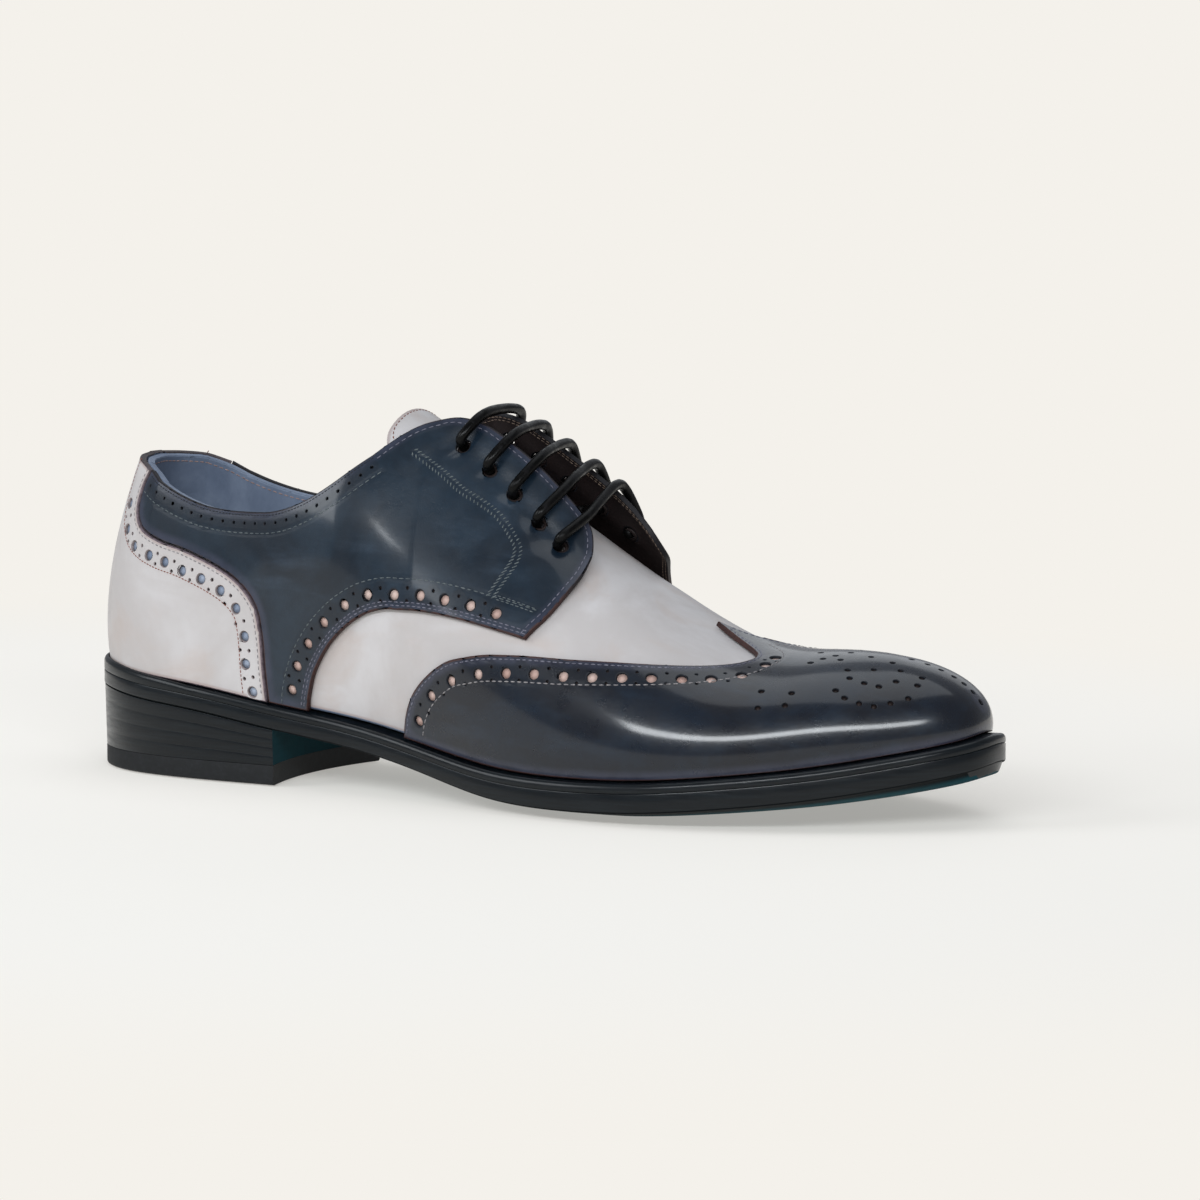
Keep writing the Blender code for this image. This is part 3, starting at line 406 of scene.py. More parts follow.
# The floor is lit by the lights near the shoe and glows in the background's colour away from it.
# FLOOR_REACH: metres from the middle at which the fading ends and starts; FLOOR_LIT: how bright the
# lights make it, as a sum of one, x, y, x times y and y squared; FLOOR_SHARE: the glow it then loses
FLOOR_COLOUR = (0.60, 0.583, 0.551)
FLOOR_DROP = 0.0004
FLOOR_REACH = (0.62, 0.34)
FLOOR_LIT = (1.0, 0.12, -0.44, -0.33, 0.23)
FLOOR_SHARE = 0.585

# Camera: degrees round and up from the outer side, metres, and a lens in millimetres
CAMERA_TURN = 29.5
CAMERA_RISE = 6.5
CAMERA_AIM = (0.110, 0.0, 0.045)
CAMERA_AWAY = 1.300
CAMERA_LENS = 132.6
CAMERA_SHIFT = (0.0571, 0.03125)


def ring_spline(places, outer, inner):
    """Smooth closed curve through one value per place: outer side, back seam, inner side, toe."""
    knots = np.concatenate([-places[::-1], places[1:-1]])
    values = np.concatenate([outer[::-1], inner[1:-1]])
    count = len(knots)
    step = np.diff(np.append(knots, knots[0] + 2.0))
    rise = np.diff(np.append(values, values[0])) / step
    system = np.zeros((count, count))
    for i in range(count):
        before = i - 1
        system[i, before] += step[before]
        system[i, i] += 2.0 * (step[before] + step[i])
        system[i, (i + 1) % count] += step[i]
    bend = np.linalg.solve(system, 6.0 * (rise - np.roll(rise, 1)))

    def read(place):
        place = (np.asarray(place, float) + 1.0) % 2.0 - 1.0
        i = np.clip(np.searchsorted(knots, place, side="right") - 1, 0, count - 1)
        j = (i + 1) % count
        past = place - knots[i]
        left = step[i] - past
        return (bend[i] * left ** 3 / (6.0 * step[i]) + bend[j] * past ** 3 / (6.0 * step[i])
                + (values[i] / step[i] - bend[i] * step[i] / 6.0) * left
                + (values[j] / step[i] - bend[j] * step[i] / 6.0) * past)
    return read


def column(table, names, name):
    return table[:, names.index(name)]


def curve_of(table, names, outer, inner, outer_scale, inner_scale):
    """A table's column on the outer side joined to a column on the inner side."""
    return ring_spline(column(table, names, "round"), column(table, names, outer) * outer_scale,
                       column(table, names, inner) * inner_scale)


def plan_curve(name, scale):
    return curve_of(PLAN, PLAN_COLUMNS, name, name, scale, scale)


def crown_curve(name, scale):
    return curve_of(CROWN, CROWN_COLUMNS, name, name, scale, scale)


def fullness_curve(name):
    return curve_of(FULLNESS, FULLNESS_COLUMNS, name + "_out", name + "_in", 1.0, 1.0)


EDGE_X = plan_curve("along", LENGTH)
EDGE_Y = curve_of(PLAN, PLAN_COLUMNS, "outer", "inner", -BALL_WIDTH, BALL_WIDTH)
HEEL_SHARE = plan_curve("heel", 1.0)
TOE_SHARE = plan_curve("toe", 1.0)
THIN_SHARE = plan_curve("thin", 1.0)
LEDGE = plan_curve("ledge", WELT_LEDGE)
TOP_X = crown_curve("along", LENGTH)
TOP_Z = crown_curve("high", TOP_HEIGHT)
SWING = crown_curve("swing", BALL_WIDTH)
DROOP = crown_curve("droop", 1.0)
LEAN = fullness_curve("lean")
PULL = fullness_curve("pull")
REACH = fullness_curve("reach")


def half_gap(place):
    """Half the width of the last's open top; it closes between the cone and the instep."""
    halves = column(CROWN, CROWN_COLUMNS, "half")
    return np.interp(np.abs(place), column(CROWN, CROWN_COLUMNS, "round"), halves) * BALL_WIDTH


def feather(place):
    """Height of the welt's top, where the upper meets the bottom unit."""
    return EDGE_THICKNESS + EDGE_RISE + HEEL_SEAT * HEEL_SHARE(place) + TOE_SPRING * TOE_SHARE(place)


def outward(place):
    """Unit vector across the sole's edge, in plan."""
    along_x = EDGE_X(place + OUTWARD_STEP) - EDGE_X(place - OUTWARD_STEP)
    along_y = EDGE_Y(place + OUTWARD_STEP) - EDGE_Y(place - OUTWARD_STEP)
    size = np.hypot(along_x, along_y)
    return -along_y / size, along_x / size


def edge_point(place, inset, height):
    """A point set in from the sole's edge, at a height."""
    out_x, out_y = outward(place)
    return np.stack([EDGE_X(place) - out_x * inset - HEEL_REST, EDGE_Y(place) - out_y * inset,
                     np.broadcast_to(height, np.shape(place))], -1)


def ridge_slope(place):
    """How steeply the ridge falls towards the toe: the open top is level, the toe's end one slope."""
    here = np.clip(np.abs(place), RIDGE_STEP, RIDGE_END)
    ahead = TOP_X(here + RIDGE_STEP) - TOP_X(here - RIDGE_STEP)
    fall = TOP_Z(here + RIDGE_STEP) - TOP_Z(here - RIDGE_STEP)
    share = np.clip((np.abs(place) - RIDGE_START + 0.04) / 0.09, 0.0, 1.0)
    return share * share * (3.0 - 2.0 * share) * fall / ahead


def last_point(place, up):
    """The last's surface: each wall is one cubic curve from the sole to the top."""
    place = (np.asarray(place, float) + 1.0) % 2.0 - 1.0
    up = np.asarray(up, float)[..., None]
    side = np.sign(place)
    out_x, out_y = outward(place)
    foot = edge_point(place, LEDGE(place), feather(place) + FOOT_CLEARANCE)
    top = np.stack([TOP_X(place) - HEEL_REST, SWING(place) + side * half_gap(place), TOP_Z(place)], -1)
    height = np.linalg.norm(top - foot, axis=-1, keepdims=True)
    lean = np.radians(LEAN(place))
    droop = np.radians(DROOP(place))
    slope = ridge_slope(place)
    leave = np.stack([np.sin(lean) * out_x, np.sin(lean) * out_y, np.cos(lean)], -1)
    arrive = np.stack([np.cos(droop) * out_x, np.cos(droop) * out_y,
                       np.cos(droop) * slope * out_x - np.sin(droop)], -1)
    first = foot + leave * height * PULL(place)[..., None]
    second = top + arrive * height * REACH(place)[..., None]
    down = 1.0 - up
    return (down ** 3 * foot + 3 * down ** 2 * up * first + 3 * down * up ** 2 * second + up ** 3 * top)


def facing_lift(place):
    """How far a facing's edge stands off the last, averaged over a short way round."""
    size = np.abs((np.asarray(place, float) + 1.0) % 2.0 - 1.0)
    rounds, outer, inner = (column(FACING, FACING_COLUMNS, name) for name in FACING_COLUMNS)
    total = 0.0
    for step in np.linspace(-LIFT_SPREAD, LIFT_SPREAD, LIFT_READINGS):
        total = total + np.where(np.asarray(place) < 0, np.interp(size + step, rounds, outer),
                                 np.interp(size + step, rounds, inner))
    return total / LIFT_READINGS * FACING_LIFT


def quarter_point(place, up):
    """The quarters follow the last, and their facings stand off it."""
    climb = (np.clip(np.asarray(up, float) - FACING_START, 0.0, None) / FACING_EDGE) ** FACING_BEND
    lift = facing_lift(place) * climb
    side = np.sign(np.asarray(place, float))
    ways = np.stack([FACING_FORWARD * lift, FACING_SPREAD * side * lift, lift], -1)
    return last_point(place, up) + ways


def unit(vectors):
    return vectors / np.linalg.norm(vectors, axis=-1, keepdims=True)


def facing_marks(eyelets):
    """Each eyelet pulls the leather in, and a fold runs back from it."""
    marks = list(FACING_MARKS)
    for around, high in eyelets:
        marks += [(around + a, high + b, *rest) for a, b, *rest in EYELET_MARKS]
    return marks + [(a, b, *ZIGZAG_MARK) for a, b in smooth_line(ZIGZAG, ROW_PARTS)]


class Chart:
    """A surface of the shoe, with the millimetres of flat leather for one unit round and one unit up."""

    def __init__(self, surface, wide=CHART_WIDE, tall=CHART_TALL, closed=True):
        self.surface = surface
        self.wide = wide
        self.tall = tall
        self.closed = closed

    def slopes(self, place, up):
        """How the surface runs for one unit round and one unit up."""
        step = SLOPE_STEP
        up = np.clip(up, step, 1.0 - 2 * step)
        across = self.surface(place + step, up) - self.surface(place - step, up)
        climb = self.surface(place, up + step) - self.surface(place, up - step)
        return across / (2 * step), climb / (2 * step)

    def frames(self, place, up):
        """Points, the two directions along the leather, and the direction away from the foot."""
        place = np.asarray(place, float)
        up = np.asarray(up, float)
        across, climb = self.slopes(place, up)
        out = unit(np.cross(climb, across))
        ridge = up > 0.999
        if self.closed and ridge.any():
            far_across, far_climb = self.slopes(-place, up)
            out[ridge] = unit(out + unit(np.cross(far_climb, far_across)))[ridge]
        first = unit(across)
        second = unit(climb - (climb * first).sum(-1, keepdims=True) * first)
        return self.surface(place, up), first, second, out

    def stretch(self, place, up):
        """Two by two: how flat leather is stretched at a spot when it is drawn over the last."""
        place, up = np.array([place]), np.array([up])
        across, climb = self.slopes(place, up)
        _, first, second, _ = self.frames(place, up)
        return np.array([[(across[0] * first[0]).sum() / (self.wide * MM),
                          (climb[0] * first[0]).sum() / (self.tall * MM)],
                         [(across[0] * second[0]).sum() / (self.wide * MM),
                          (climb[0] * second[0]).sum() / (self.tall * MM)]])


def soft_marks(marks, place, up):
    """Height of soft troughs and ridges, each row: round, up, length, width, turn in degrees, height."""
    x = np.asarray(place, float) * CHART_WIDE
    y = np.asarray(up, float) * CHART_TALL
    total = np.zeros(np.broadcast(x, y).shape)
    for around, high, length, width, turn, height in marks:
        cos, sin = math.cos(math.radians(turn)), math.sin(math.radians(turn))
        dx, dy = x - around * CHART_WIDE, y - high * CHART_TALL
        along, aside = (dx * cos + dy * sin) / length, (dy * cos - dx * sin) / width
        total += height * np.exp(-along ** 2 - aside ** 2)
    return total[..., None] * MM


def vamp_point(place, up):
    """The last with the soft hollows that the toe flex leaves in the vamp."""
    size = np.abs((np.asarray(place, float) + 1.0) % 2.0 - 1.0)
    lift = soft_marks(VAMP_MARKS, size, up)
    return last_point(place, up) + lift * MARK_UP


def quarter_leather(place, up):
    """The quarter pulled in at each eyelet, with the leather standing up beside it."""
    place = np.asarray(place, float)
    outer = soft_marks(facing_marks(OUTER_EYELETS), -place, up)
    inner = soft_marks(facing_marks(INNER_EYELETS), place, up)
    lift = np.where(place[..., None] < 0, outer, inner)
    side = np.sign(place)[..., None]
    return quarter_point(place, up) + lift * (MARK_UP + side * MARK_ASIDE)


def tongue_point(share, across):
    """A point on the tongue's upper face: share along it, across from -1 to 1."""
    stations = np.linspace(0.0, 1.0, len(TONGUE_LINE))
    along, high, half, crown = (np.interp(share, stations, column(TONGUE_LINE, TONGUE_COLUMNS, name))
                                for name in TONGUE_COLUMNS)
    half = half * BALL_WIDTH
    turn = across * 2 * np.arctan(crown)
    reach = np.sin(2 * np.arctan(crown))
    return np.stack([along * LENGTH - HEEL_REST, half * np.sin(turn) / reach,
                     high * TOP_HEIGHT - half * (1 - np.cos(turn)) / reach], -1)


def tongue_sheet(place, up):
    return tongue_point(up, -np.asarray(place, float))


def smooth_line(points, parts=8):
    """More points on a line, on a curve that passes through each of its own."""
    points = np.array(points, float)
    ends = np.vstack([2 * points[0] - points[1], points, 2 * points[-1] - points[-2]])
    made = []
    for i in range(len(points) - 1):
        a, b, c, d = ends[i:i + 4]
        for t in np.arange(parts) / parts:
            made.append(0.5 * (2 * b + (c - a) * t + (2 * a - 5 * b + 4 * c - d) * t * t
                               + (3 * b - a - 3 * c + d) * t ** 3))
    made.append(points[-1])
    return [tuple(p) for p in made]


def sided(line, side):
    return [(side * a, b) for a, b in line]


def mirrored(line):
    return sided(line, -1)


def march(chart, line, distance, steps=4):
    """A chart line moved sideways over the leather; it keeps only what stays a full distance away."""
    first = np.array(line, float)
    moved = first.copy()
    for _ in range(steps):
        place, up = moved[:, 0], moved[:, 1]
        points, _, _, out = chart.frames(place, np.clip(up, 0.0, 1.0))
        left = np.cross(out, unit(np.gradient(points, axis=0))) * distance * MM / steps
        across, climb = chart.slopes(place, np.clip(up, 0.0, 1.0))
        for i in range(len(moved)):
            moved[i] += np.linalg.lstsq(np.stack([across[i], climb[i]], 1), left[i], rcond=None)[0]
    kept = (moved[:, 1] > 0.004) & (moved[:, 1] < 0.996)
    edge = chart.surface(first[:, 0], first[:, 1])
    here = chart.surface(moved[:, 0], np.clip(moved[:, 1], 0.0, 1.0))
    gaps = np.linalg.norm(here[:, None] - edge[None], axis=-1).min(1)
    kept &= gaps > 0.93 * abs(distance) * MM
    return moved[kept]


def spaced(chart, line, pitch, start=0.0, end=0.0):
    """Chart places at an even pitch along a line, in millimetres, from a start to short of its end."""
    line = np.array(line, float)
    points = chart.surface(line[:, 0], line[:, 1])
    steps = np.linalg.norm(np.diff(points, axis=0), axis=1) / MM
    run = np.concatenate([[0.0], np.cumsum(steps)])
    count = max(2, int(round((run[-1] - start - end) / pitch)) + 1)
    marks = np.linspace(start, run[-1] - end, count)
    return np.stack([np.interp(marks, run, line[:, i]) for i in (0, 1)], -1)


def cut_sheet(chart, outlines, cell, holes):
    """Leather cut flat to its outlines and punched, as one layer of small faces."""
    bm = bmesh.new()
    for outline in outlines:
        bm.faces.new([bm.verts.new((a * chart.wide, b * chart.tall, 0.0)) for a, b in outline])
    for axis, direction in enumerate((Vector((1.0, 0.0, 0.0)), Vector((0.0, 1.0, 0.0)))):
        places = [v.co[axis] for v in bm.verts]
        for line in np.arange(math.ceil(min(places) / cell) * cell, max(places) - 0.01, cell):
            if line > min(places) + 0.01:
                bmesh.ops.bisect_plane(bm, geom=bm.verts[:] + bm.edges[:] + bm.faces[:], dist=1e-4,
                                       plane_co=direction * float(line), plane_no=direction)
    bm.normal_update()
    turned = [f for f in bm.faces if f.normal.z < 0.0]
    bmesh.ops.reverse_faces(bm, faces=turned)
    return punch_sheet(chart, bm, holes) if len(holes) else bm


def linked(name, data):
    """An object of the scene that holds the data."""
    made = bpy.data.objects.new(name, data)
    bpy.context.scene.collection.objects.link(made)
    return made


def mesh_object(bm, name):
    mesh = bpy.data.meshes.new(name)
    bm.to_mesh(mesh)
    bm.free()
    return linked(name, mesh)


def verts_of(made):
    return [g for g in made if isinstance(g, bmesh.types.BMVert)]


def faces_of(made):
    return [g for g in made if isinstance(g, bmesh.types.BMFace)]


def punch_sheet(chart, bm, holes):
    """Punches holes that come out round once the leather is on the last."""
    raised = bmesh.ops.extrude_face_region(bm, geom=bm.faces[:])["geom"]
    bmesh.ops.translate(bm, vec=(0.0, 0.0, 1.0), verts=verts_of(raised))
    bmesh.ops.recalc_face_normals(bm, faces=bm.faces)
    sheet = mesh_object(bm, "sheet")
    tools = bmesh.new()
    for place, up, radius in holes:
        shape = np.eye(4)
        shape[:2, :2] = np.linalg.inv(chart.stretch(place, up))
        turn = Matrix.Translation((place * chart.wide, up * chart.tall, 0.5)) @ Matrix(shape.tolist())
        bmesh.ops.create_cone(tools, cap_ends=True, segments=PUNCH_SIDES, radius1=radius, radius2=radius,
                              depth=4.0, matrix=turn)
    bmesh.ops.recalc_face_normals(tools, faces=tools.faces)
    punches = mesh_object(tools, "punches")
    cut = sheet.modifiers.new("punch", "BOOLEAN")
    cut.object = punches
    cut.solver = "EXACT"
    done = sheet.evaluated_get(bpy.context.evaluated_depsgraph_get())
    made = bmesh.new()
    made.from_mesh(done.to_mesh())
    done.to_mesh_clear()
    for scratch in (sheet, punches):
        bpy.data.objects.remove(scratch, do_unlink=True)
    made.normal_update()
    spare = [f for f in made.faces if f.normal.z < 0.5 or f.calc_center_median().z < 0.9]
    bmesh.ops.delete(made, geom=spare, context="FACES")
    for vert in made.verts:
        vert.co.z = 0.0
    made.normal_update()
    return made


def rim_edges(chart, bm):
    """The sheet's open edges, without those that its two halves join along."""
    def on_seam(edge):
        ridge = all(abs(v.co.y - chart.tall) < 1e-3 for v in edge.verts)
        toe = all(abs(abs(v.co.x) - chart.wide) < 1e-3 for v in edge.verts)
        return chart.closed and (ridge or toe)
    return [e for e in bm.edges if e.is_boundary and not on_seam(e)]


def rim_directions(chart, rim):
    """For each vertex of the rim, the way out of the leather in the flat, longer at corners."""
    sums = {}
    for edge in rim:
        loop = edge.link_loops[0]
        run = loop.link_loop_next.vert.co - loop.vert.co
        if run.length < 1e-6:
            continue
        way = Vector((run.y, -run.x, 0.0)).normalized()
        for vert in edge.verts:
            sums.setdefault(vert, []).append((way, min(run.length, 0.5)))
    found = {}
    for vert, ways in sums.items():
        total = sum((way * weight for way, weight in ways), Vector())
        if total.length < 1e-9:
            continue
        total.normalize()
        reach = 1.0 / max(0.6, sum(total.dot(way) for way, _ in ways) / len(ways))
        if chart.closed and abs(vert.co.y - chart.tall) < 1e-3:
            total = Vector((math.copysign(1.0, total.x), 0.0, 0.0))
            reach = 1.0
        if chart.closed and abs(abs(vert.co.x) - chart.wide) < 1e-3:
            total = Vector((0.0, math.copysign(1.0, total.y), 0.0))
            reach = 1.0
        found[vert] = total * reach
    return found


def hole_near(tree, holes, spot):
    """The hole whose edge a flat spot lies on, if any."""
    if not len(holes):
        return None
    _, index, away = tree.find(spot)
    return holes[index] if away < holes[index][2] * 1.6 + 0.5 else None


def thicken(chart, bm, top, bottom, soft, holes):
    """Turns a flat sheet into leather with a top, a bottom and edges rounded over at the top."""
    out = bm.verts.layers.float_vector.new("out")
    facing = bm.verts.layers.float_vector.new("facing")
    edge_kind = bm.verts.layers.int.new("edge_kind")
    for vert in bm.verts:
        vert.co.z = top
        vert[facing] = (0.0, 0.0, 1.0)
    rim = rim_edges(chart, bm)
    tree = tree_of([(a * chart.wide, b * chart.tall, top) for a, b, _ in holes])
    for vert, way in rim_directions(chart, rim).items():
        hole = hole_near(tree, holes, vert.co)
        way = way * (min(1.0, (0.12 + 0.12 * hole[2]) / soft) if hole else 1.0)
        vert[out] = way
        vert.co -= way * soft
        vert[edge_kind] = 2 if hole else 1
    under = bmesh.ops.duplicate(bm, geom=bm.faces[:])["geom"]
    for vert in verts_of(under):
        vert.co.z = bottom
        vert[facing] = (0.0, 0.0, -1.0)
        vert[edge_kind] = 0
    bmesh.ops.reverse_faces(bm, faces=faces_of(under))
    for face in faces_of(under):
        face.material_index = 1
    rings = []
    for turn in (30.0, 60.0, 90.0):
        angle = math.radians(turn)
        rings.append((soft * math.sin(angle), top - soft * (1 - math.cos(angle)), turn))
    rings += [(soft, bottom, 90.0), (0.0, bottom, 180.0)]
    reached = 0.0
    for reach, height, turn in rings:
        made = bmesh.ops.extrude_edge_only(bm, edges=rim)["geom"]
        fresh = set(verts_of(made))
        edges = [g for g in made if isinstance(g, bmesh.types.BMEdge)]
        rim = [e for e in edges if e.verts[0] in fresh and e.verts[1] in fresh]
        for vert in fresh:
            way = Vector(vert[out])
            vert.co += way * (reach - reached)
            vert.co.z = height
            level = way.normalized() * math.sin(math.radians(turn))
            vert[facing] = (level.x, level.y, math.cos(math.radians(turn)))
            vert[edge_kind] = 0
        for face in faces_of(made):
            face.material_index = 2
        reached = reach
    bmesh.ops.remove_doubles(bm, verts=bm.verts, dist=2e-4)


def tree_of(points):
    tree = kdtree.KDTree(max(1, len(points)))
    for i, point in enumerate(points):
        tree.insert(point, i)
    tree.balance()
    return tree


def draw_over(chart, bm, holes, seams):
    """Draws flat leather over its surface; marks how far each point is from edges, holes and seams."""
    facing = bm.verts.layers.float_vector["facing"]
    edge_kind = bm.verts.layers.int["edge_kind"]
    rim_mm = bm.verts.layers.float.new("rim_mm")
    hole_mm = bm.verts.layers.float.new("hole_mm")
    flat = np.array([v.co for v in bm.verts])
    ways = np.array([v[facing] for v in bm.verts])
    points, first, second, away = chart.frames(flat[:, 0] / chart.wide, flat[:, 1] / chart.tall)
    places = points + away * flat[:, 2:3] * MM
    ways = unit(first * ways[:, 0:1] + second * ways[:, 1:2] + away * ways[:, 2:3])
    seam_mm = bm.verts.layers.float.new("seam_mm")
    rims = tree_of([places[i] for i, v in enumerate(bm.verts) if v[edge_kind] == 1])
    centres = tree_of([chart.surface(np.array([a]), np.array([b]))[0] for a, b, _ in holes])
    rows = [spaced(chart, line, 0.5) for line in seams]
    sewn = tree_of([p for row in rows for p in chart.surface(row[:, 0], row[:, 1])])
    for i, vert in enumerate(bm.verts):
        vert[rim_mm] = min(20.0, rims.find(places[i])[2] / MM)
        vert[hole_mm] = min(20.0, centres.find(places[i])[2] / MM) if len(holes) else 20.0
        vert[seam_mm] = min(20.0, sewn.find(places[i])[2] / MM) if len(seams) else 20.0
        vert.co = places[i]
        vert[facing] = ways[i]
    bmesh.ops.remove_doubles(bm, verts=bm.verts, dist=0.004 * MM)
    bmesh.ops.recalc_face_normals(bm, faces=bm.faces)
    bm.normal_update()
    if sum(f.normal.dot(f.verts[0][facing]) * f.calc_area() for f in bm.faces) < 0.0:
        bmesh.ops.reverse_faces(bm, faces=bm.faces)


def leather(name, chart, outlines, cell, top, bottom, soft, finishes, holes=(), seams=()):
    """A piece of leather: finishes for its face, its underside and its cut edge."""
    bm = cut_sheet(chart, outlines, cell, holes)
    thicken(chart, bm, top / MM, bottom / MM, soft / MM, holes)
    draw_over(chart, bm, holes, seams)
    return keep(bm, name, finishes, shaded=True)


def keep(bm, name, finishes, shaded=False):
    """Puts a finished piece in the scene; its shading follows the surface that it was drawn over."""
    made = mesh_object(bm, name)
    mesh = made.data
    mesh.shade_smooth()
    for finish in finishes:
        mesh.materials.append(finish)
    if shaded:
        ways = np.zeros(len(mesh.vertices) * 3)
        mesh.attributes["facing"].data.foreach_get("vector", ways)
        mesh.normals_split_custom_set_from_vertices(unit(ways.reshape(-1, 3)).tolist())
        for spare in ("facing", "out", "edge_kind"):
            mesh.attributes.remove(mesh.attributes[spare])
    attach(made, "root")
    return made


def tile(template, name, finish, centres, axes):
    """Copies of one small shape, each with its own centre and its own three axes, as one piece."""
    verts = np.array([v.co for v in template.verts])
    template.verts.index_update()
    faces = [[v.index for v in f.verts] for f in template.faces]
    template.free()
    count = len(verts)
    every = (np.einsum("vk,mkj->mvj", verts, axes) + centres[:, None]).reshape(-1, 3)
    sides = [[i + count * m for i in face] for m in range(len(centres)) for face in faces]
    mesh = bpy.data.meshes.new(name)
    mesh.from_pydata(every.tolist(), [], sides)
    mesh.shade_smooth()
    mesh.materials.append(finish)
    made = linked(name, mesh)
    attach(made, "root")
    return made


def sew(name, thread, centres, axes):
    """One piece of stitches, each a grain of thread with its own centre and axes."""
    stitch = bmesh.new()
    bmesh.ops.create_uvsphere(stitch, u_segments=6, v_segments=5, radius=1.0,
                              matrix=Matrix.Rotation(math.pi / 2, 4, "Y"))
    made = tile(stitch, name, thread, centres, axes)


def cords(name, thread, chart, lines, pitch, length, thick, lift=0.0):
    """Rows of stitches: each a short, slightly sunk piece of thread that follows its row."""
    centres, axes = [], []
    for line in lines:
        marks = spaced(chart, line, pitch, start=pitch / 2, end=pitch / 2)
        points, _, _, out = chart.frames(marks[:, 0], marks[:, 1])
        ways = unit(np.gradient(points, axis=0))
        ways = unit(ways - out * (ways * out).sum(-1, keepdims=True))
        half = np.array([length, thick, thick * 0.8]) * MM / 2
        axes.append(np.stack([ways * half[0], np.cross(out, ways) * half[1], out * half[2]], 1))
        centres.append(points + out * (OVERLAY_FACE + lift * MM))
    sew(name, thread, np.concatenate(centres), np.concatenate(axes))


def slanted(chart, line, near, far, pitch):
    """Chart ends of short stitches that lean away from a seam."""
    starts = spaced(chart, march(chart, line, near), pitch)
    ends = spaced(chart, march(chart, line, far), pitch, 0.8)
    return [np.array(pair) for pair in zip(starts, ends)]


def short_stitches(name, thread, chart, legs, thick):
    """One stitch for each short leg."""
    legs = np.array(legs)
    starts, ends = (chart.surface(legs[:, i, 0], legs[:, i, 1]) for i in (0, 1))
    middle = legs.mean(1)
    _, _, _, out = chart.frames(middle[:, 0], middle[:, 1])
    ways = ends - starts
    length = np.linalg.norm(ways, axis=-1, keepdims=True)
    ways /= length
    half = thick * MM / 2
    axes = np.stack([ways * (length / 2 + half / 2), np.cross(out, ways) * half, out * half * 0.8], 1)
    sew(name, thread, (starts + ends) / 2 + out * OVERLAY_FACE, axes)


def backing(name, finish, chart, holes, depth):
    """Small pads under the punched holes: backing leather, or dark pads of painted shade in the pinholes."""
    marks = np.array(holes)
    points, first, _, out = chart.frames(marks[:, 0], marks[:, 1])
    size = (marks[:, 2:3] - 0.04) * MM
    axes = np.stack([first * size, np.cross(out, first) * size, out * 0.5 * MM], 1)
    pad = bmesh.new()
    bmesh.ops.create_cone(pad, cap_ends=True, segments=12, radius1=1.0, radius2=1.0, depth=1.0)
    made = tile(pad, name, finish, points + out * (depth - 0.25 * MM), axes)


def ring_grid(bm, places, levels, put):
    """A sheet of quads over two lists of values, each point placed by a function."""
    wide, tall = len(places) - 1, len(levels) - 1
    made = bmesh.ops.create_grid(bm, x_segments=wide, y_segments=tall, size=1.0, calc_uvs=True)["verts"]
    flat = np.array([v.co for v in made])
    place = np.interp((flat[:, 0] + 1) * wide / 2, np.arange(wide + 1), places)
    level = np.interp((flat[:, 1] + 1) * tall / 2, np.arange(tall + 1), levels)
    for vert, co in zip(made, put(place, level)):
        vert.co = co
    return made


def between(profile, places, number):
    """Reads a profile of (inset, height) pairs, each a function or a value."""
    rows = np.array([np.stack([np.broadcast_to(p(places) if callable(p) else p, places.shape)
                               for p in pair], -1) for pair in profile])
    return rows[np.round(number).astype(int), np.arange(len(places))]


def lathe_round(bm, profile):
    """A skirt round the sole's edge: one ring of points for each pair of the profile."""
    def put(place, level):
        inset, height = between(profile, place, level).T
        return edge_point(place, inset, height)
    ring_grid(bm, ROUND_STEPS, list(range(len(profile))), put)


def cap(bm, inset, height, middle=None, steps=25):
    """Closes a ring with ribs from the outer side to the inner side."""
    inner = bm.verts.layers.float.get("inner_share") or bm.verts.layers.float.new("inner_share")
    shares = []

    def put(place, share):
        shares.extend(share)
        sides = []
        for sign in (-1.0, 1.0):
            here = sign * place
            sides.append(edge_point(here, inset(here) if callable(inset) else inset, height(here)))
        mix = (share[:, None] + 1.0) / 2.0
        point = sides[0] * (1.0 - mix) + sides[1] * mix
        if middle is not None:
            point[:, 2] = middle(place, share)
        return point

    half = ROUND_STEPS[len(ROUND_STEPS) // 2:]
    made = ring_grid(bm, half, list(np.linspace(-1.0, 1.0, steps)), put)
    for vert, share in zip(made, shares):
        vert[inner] = 1.0 - abs(share)


def settle(bm, name, finishes, choose=None, sharp=38.0):
    """Closes the seams of a piece made of rings and caps, and puts it in the scene."""
    bmesh.ops.remove_doubles(bm, verts=bm.verts, dist=0.01 * MM)
    bmesh.ops.dissolve_degenerate(bm, dist=0.005 * MM, edges=bm.edges)
    bmesh.ops.recalc_face_normals(bm, faces=bm.faces)
    bm.normal_update()
    if choose:
        for face in bm.faces:
            face.material_index = choose(face)
    made = keep(bm, name, finishes)
    made.data.set_sharp_from_angle(angle=math.radians(sharp))
    return made


def sole_bottom(place):
    """Height of the outsole's lower edge."""
    return feather(place) - EDGE_THICKNESS - (WAIST_THICKNESS - EDGE_THICKNESS) * THIN_SHARE(place)


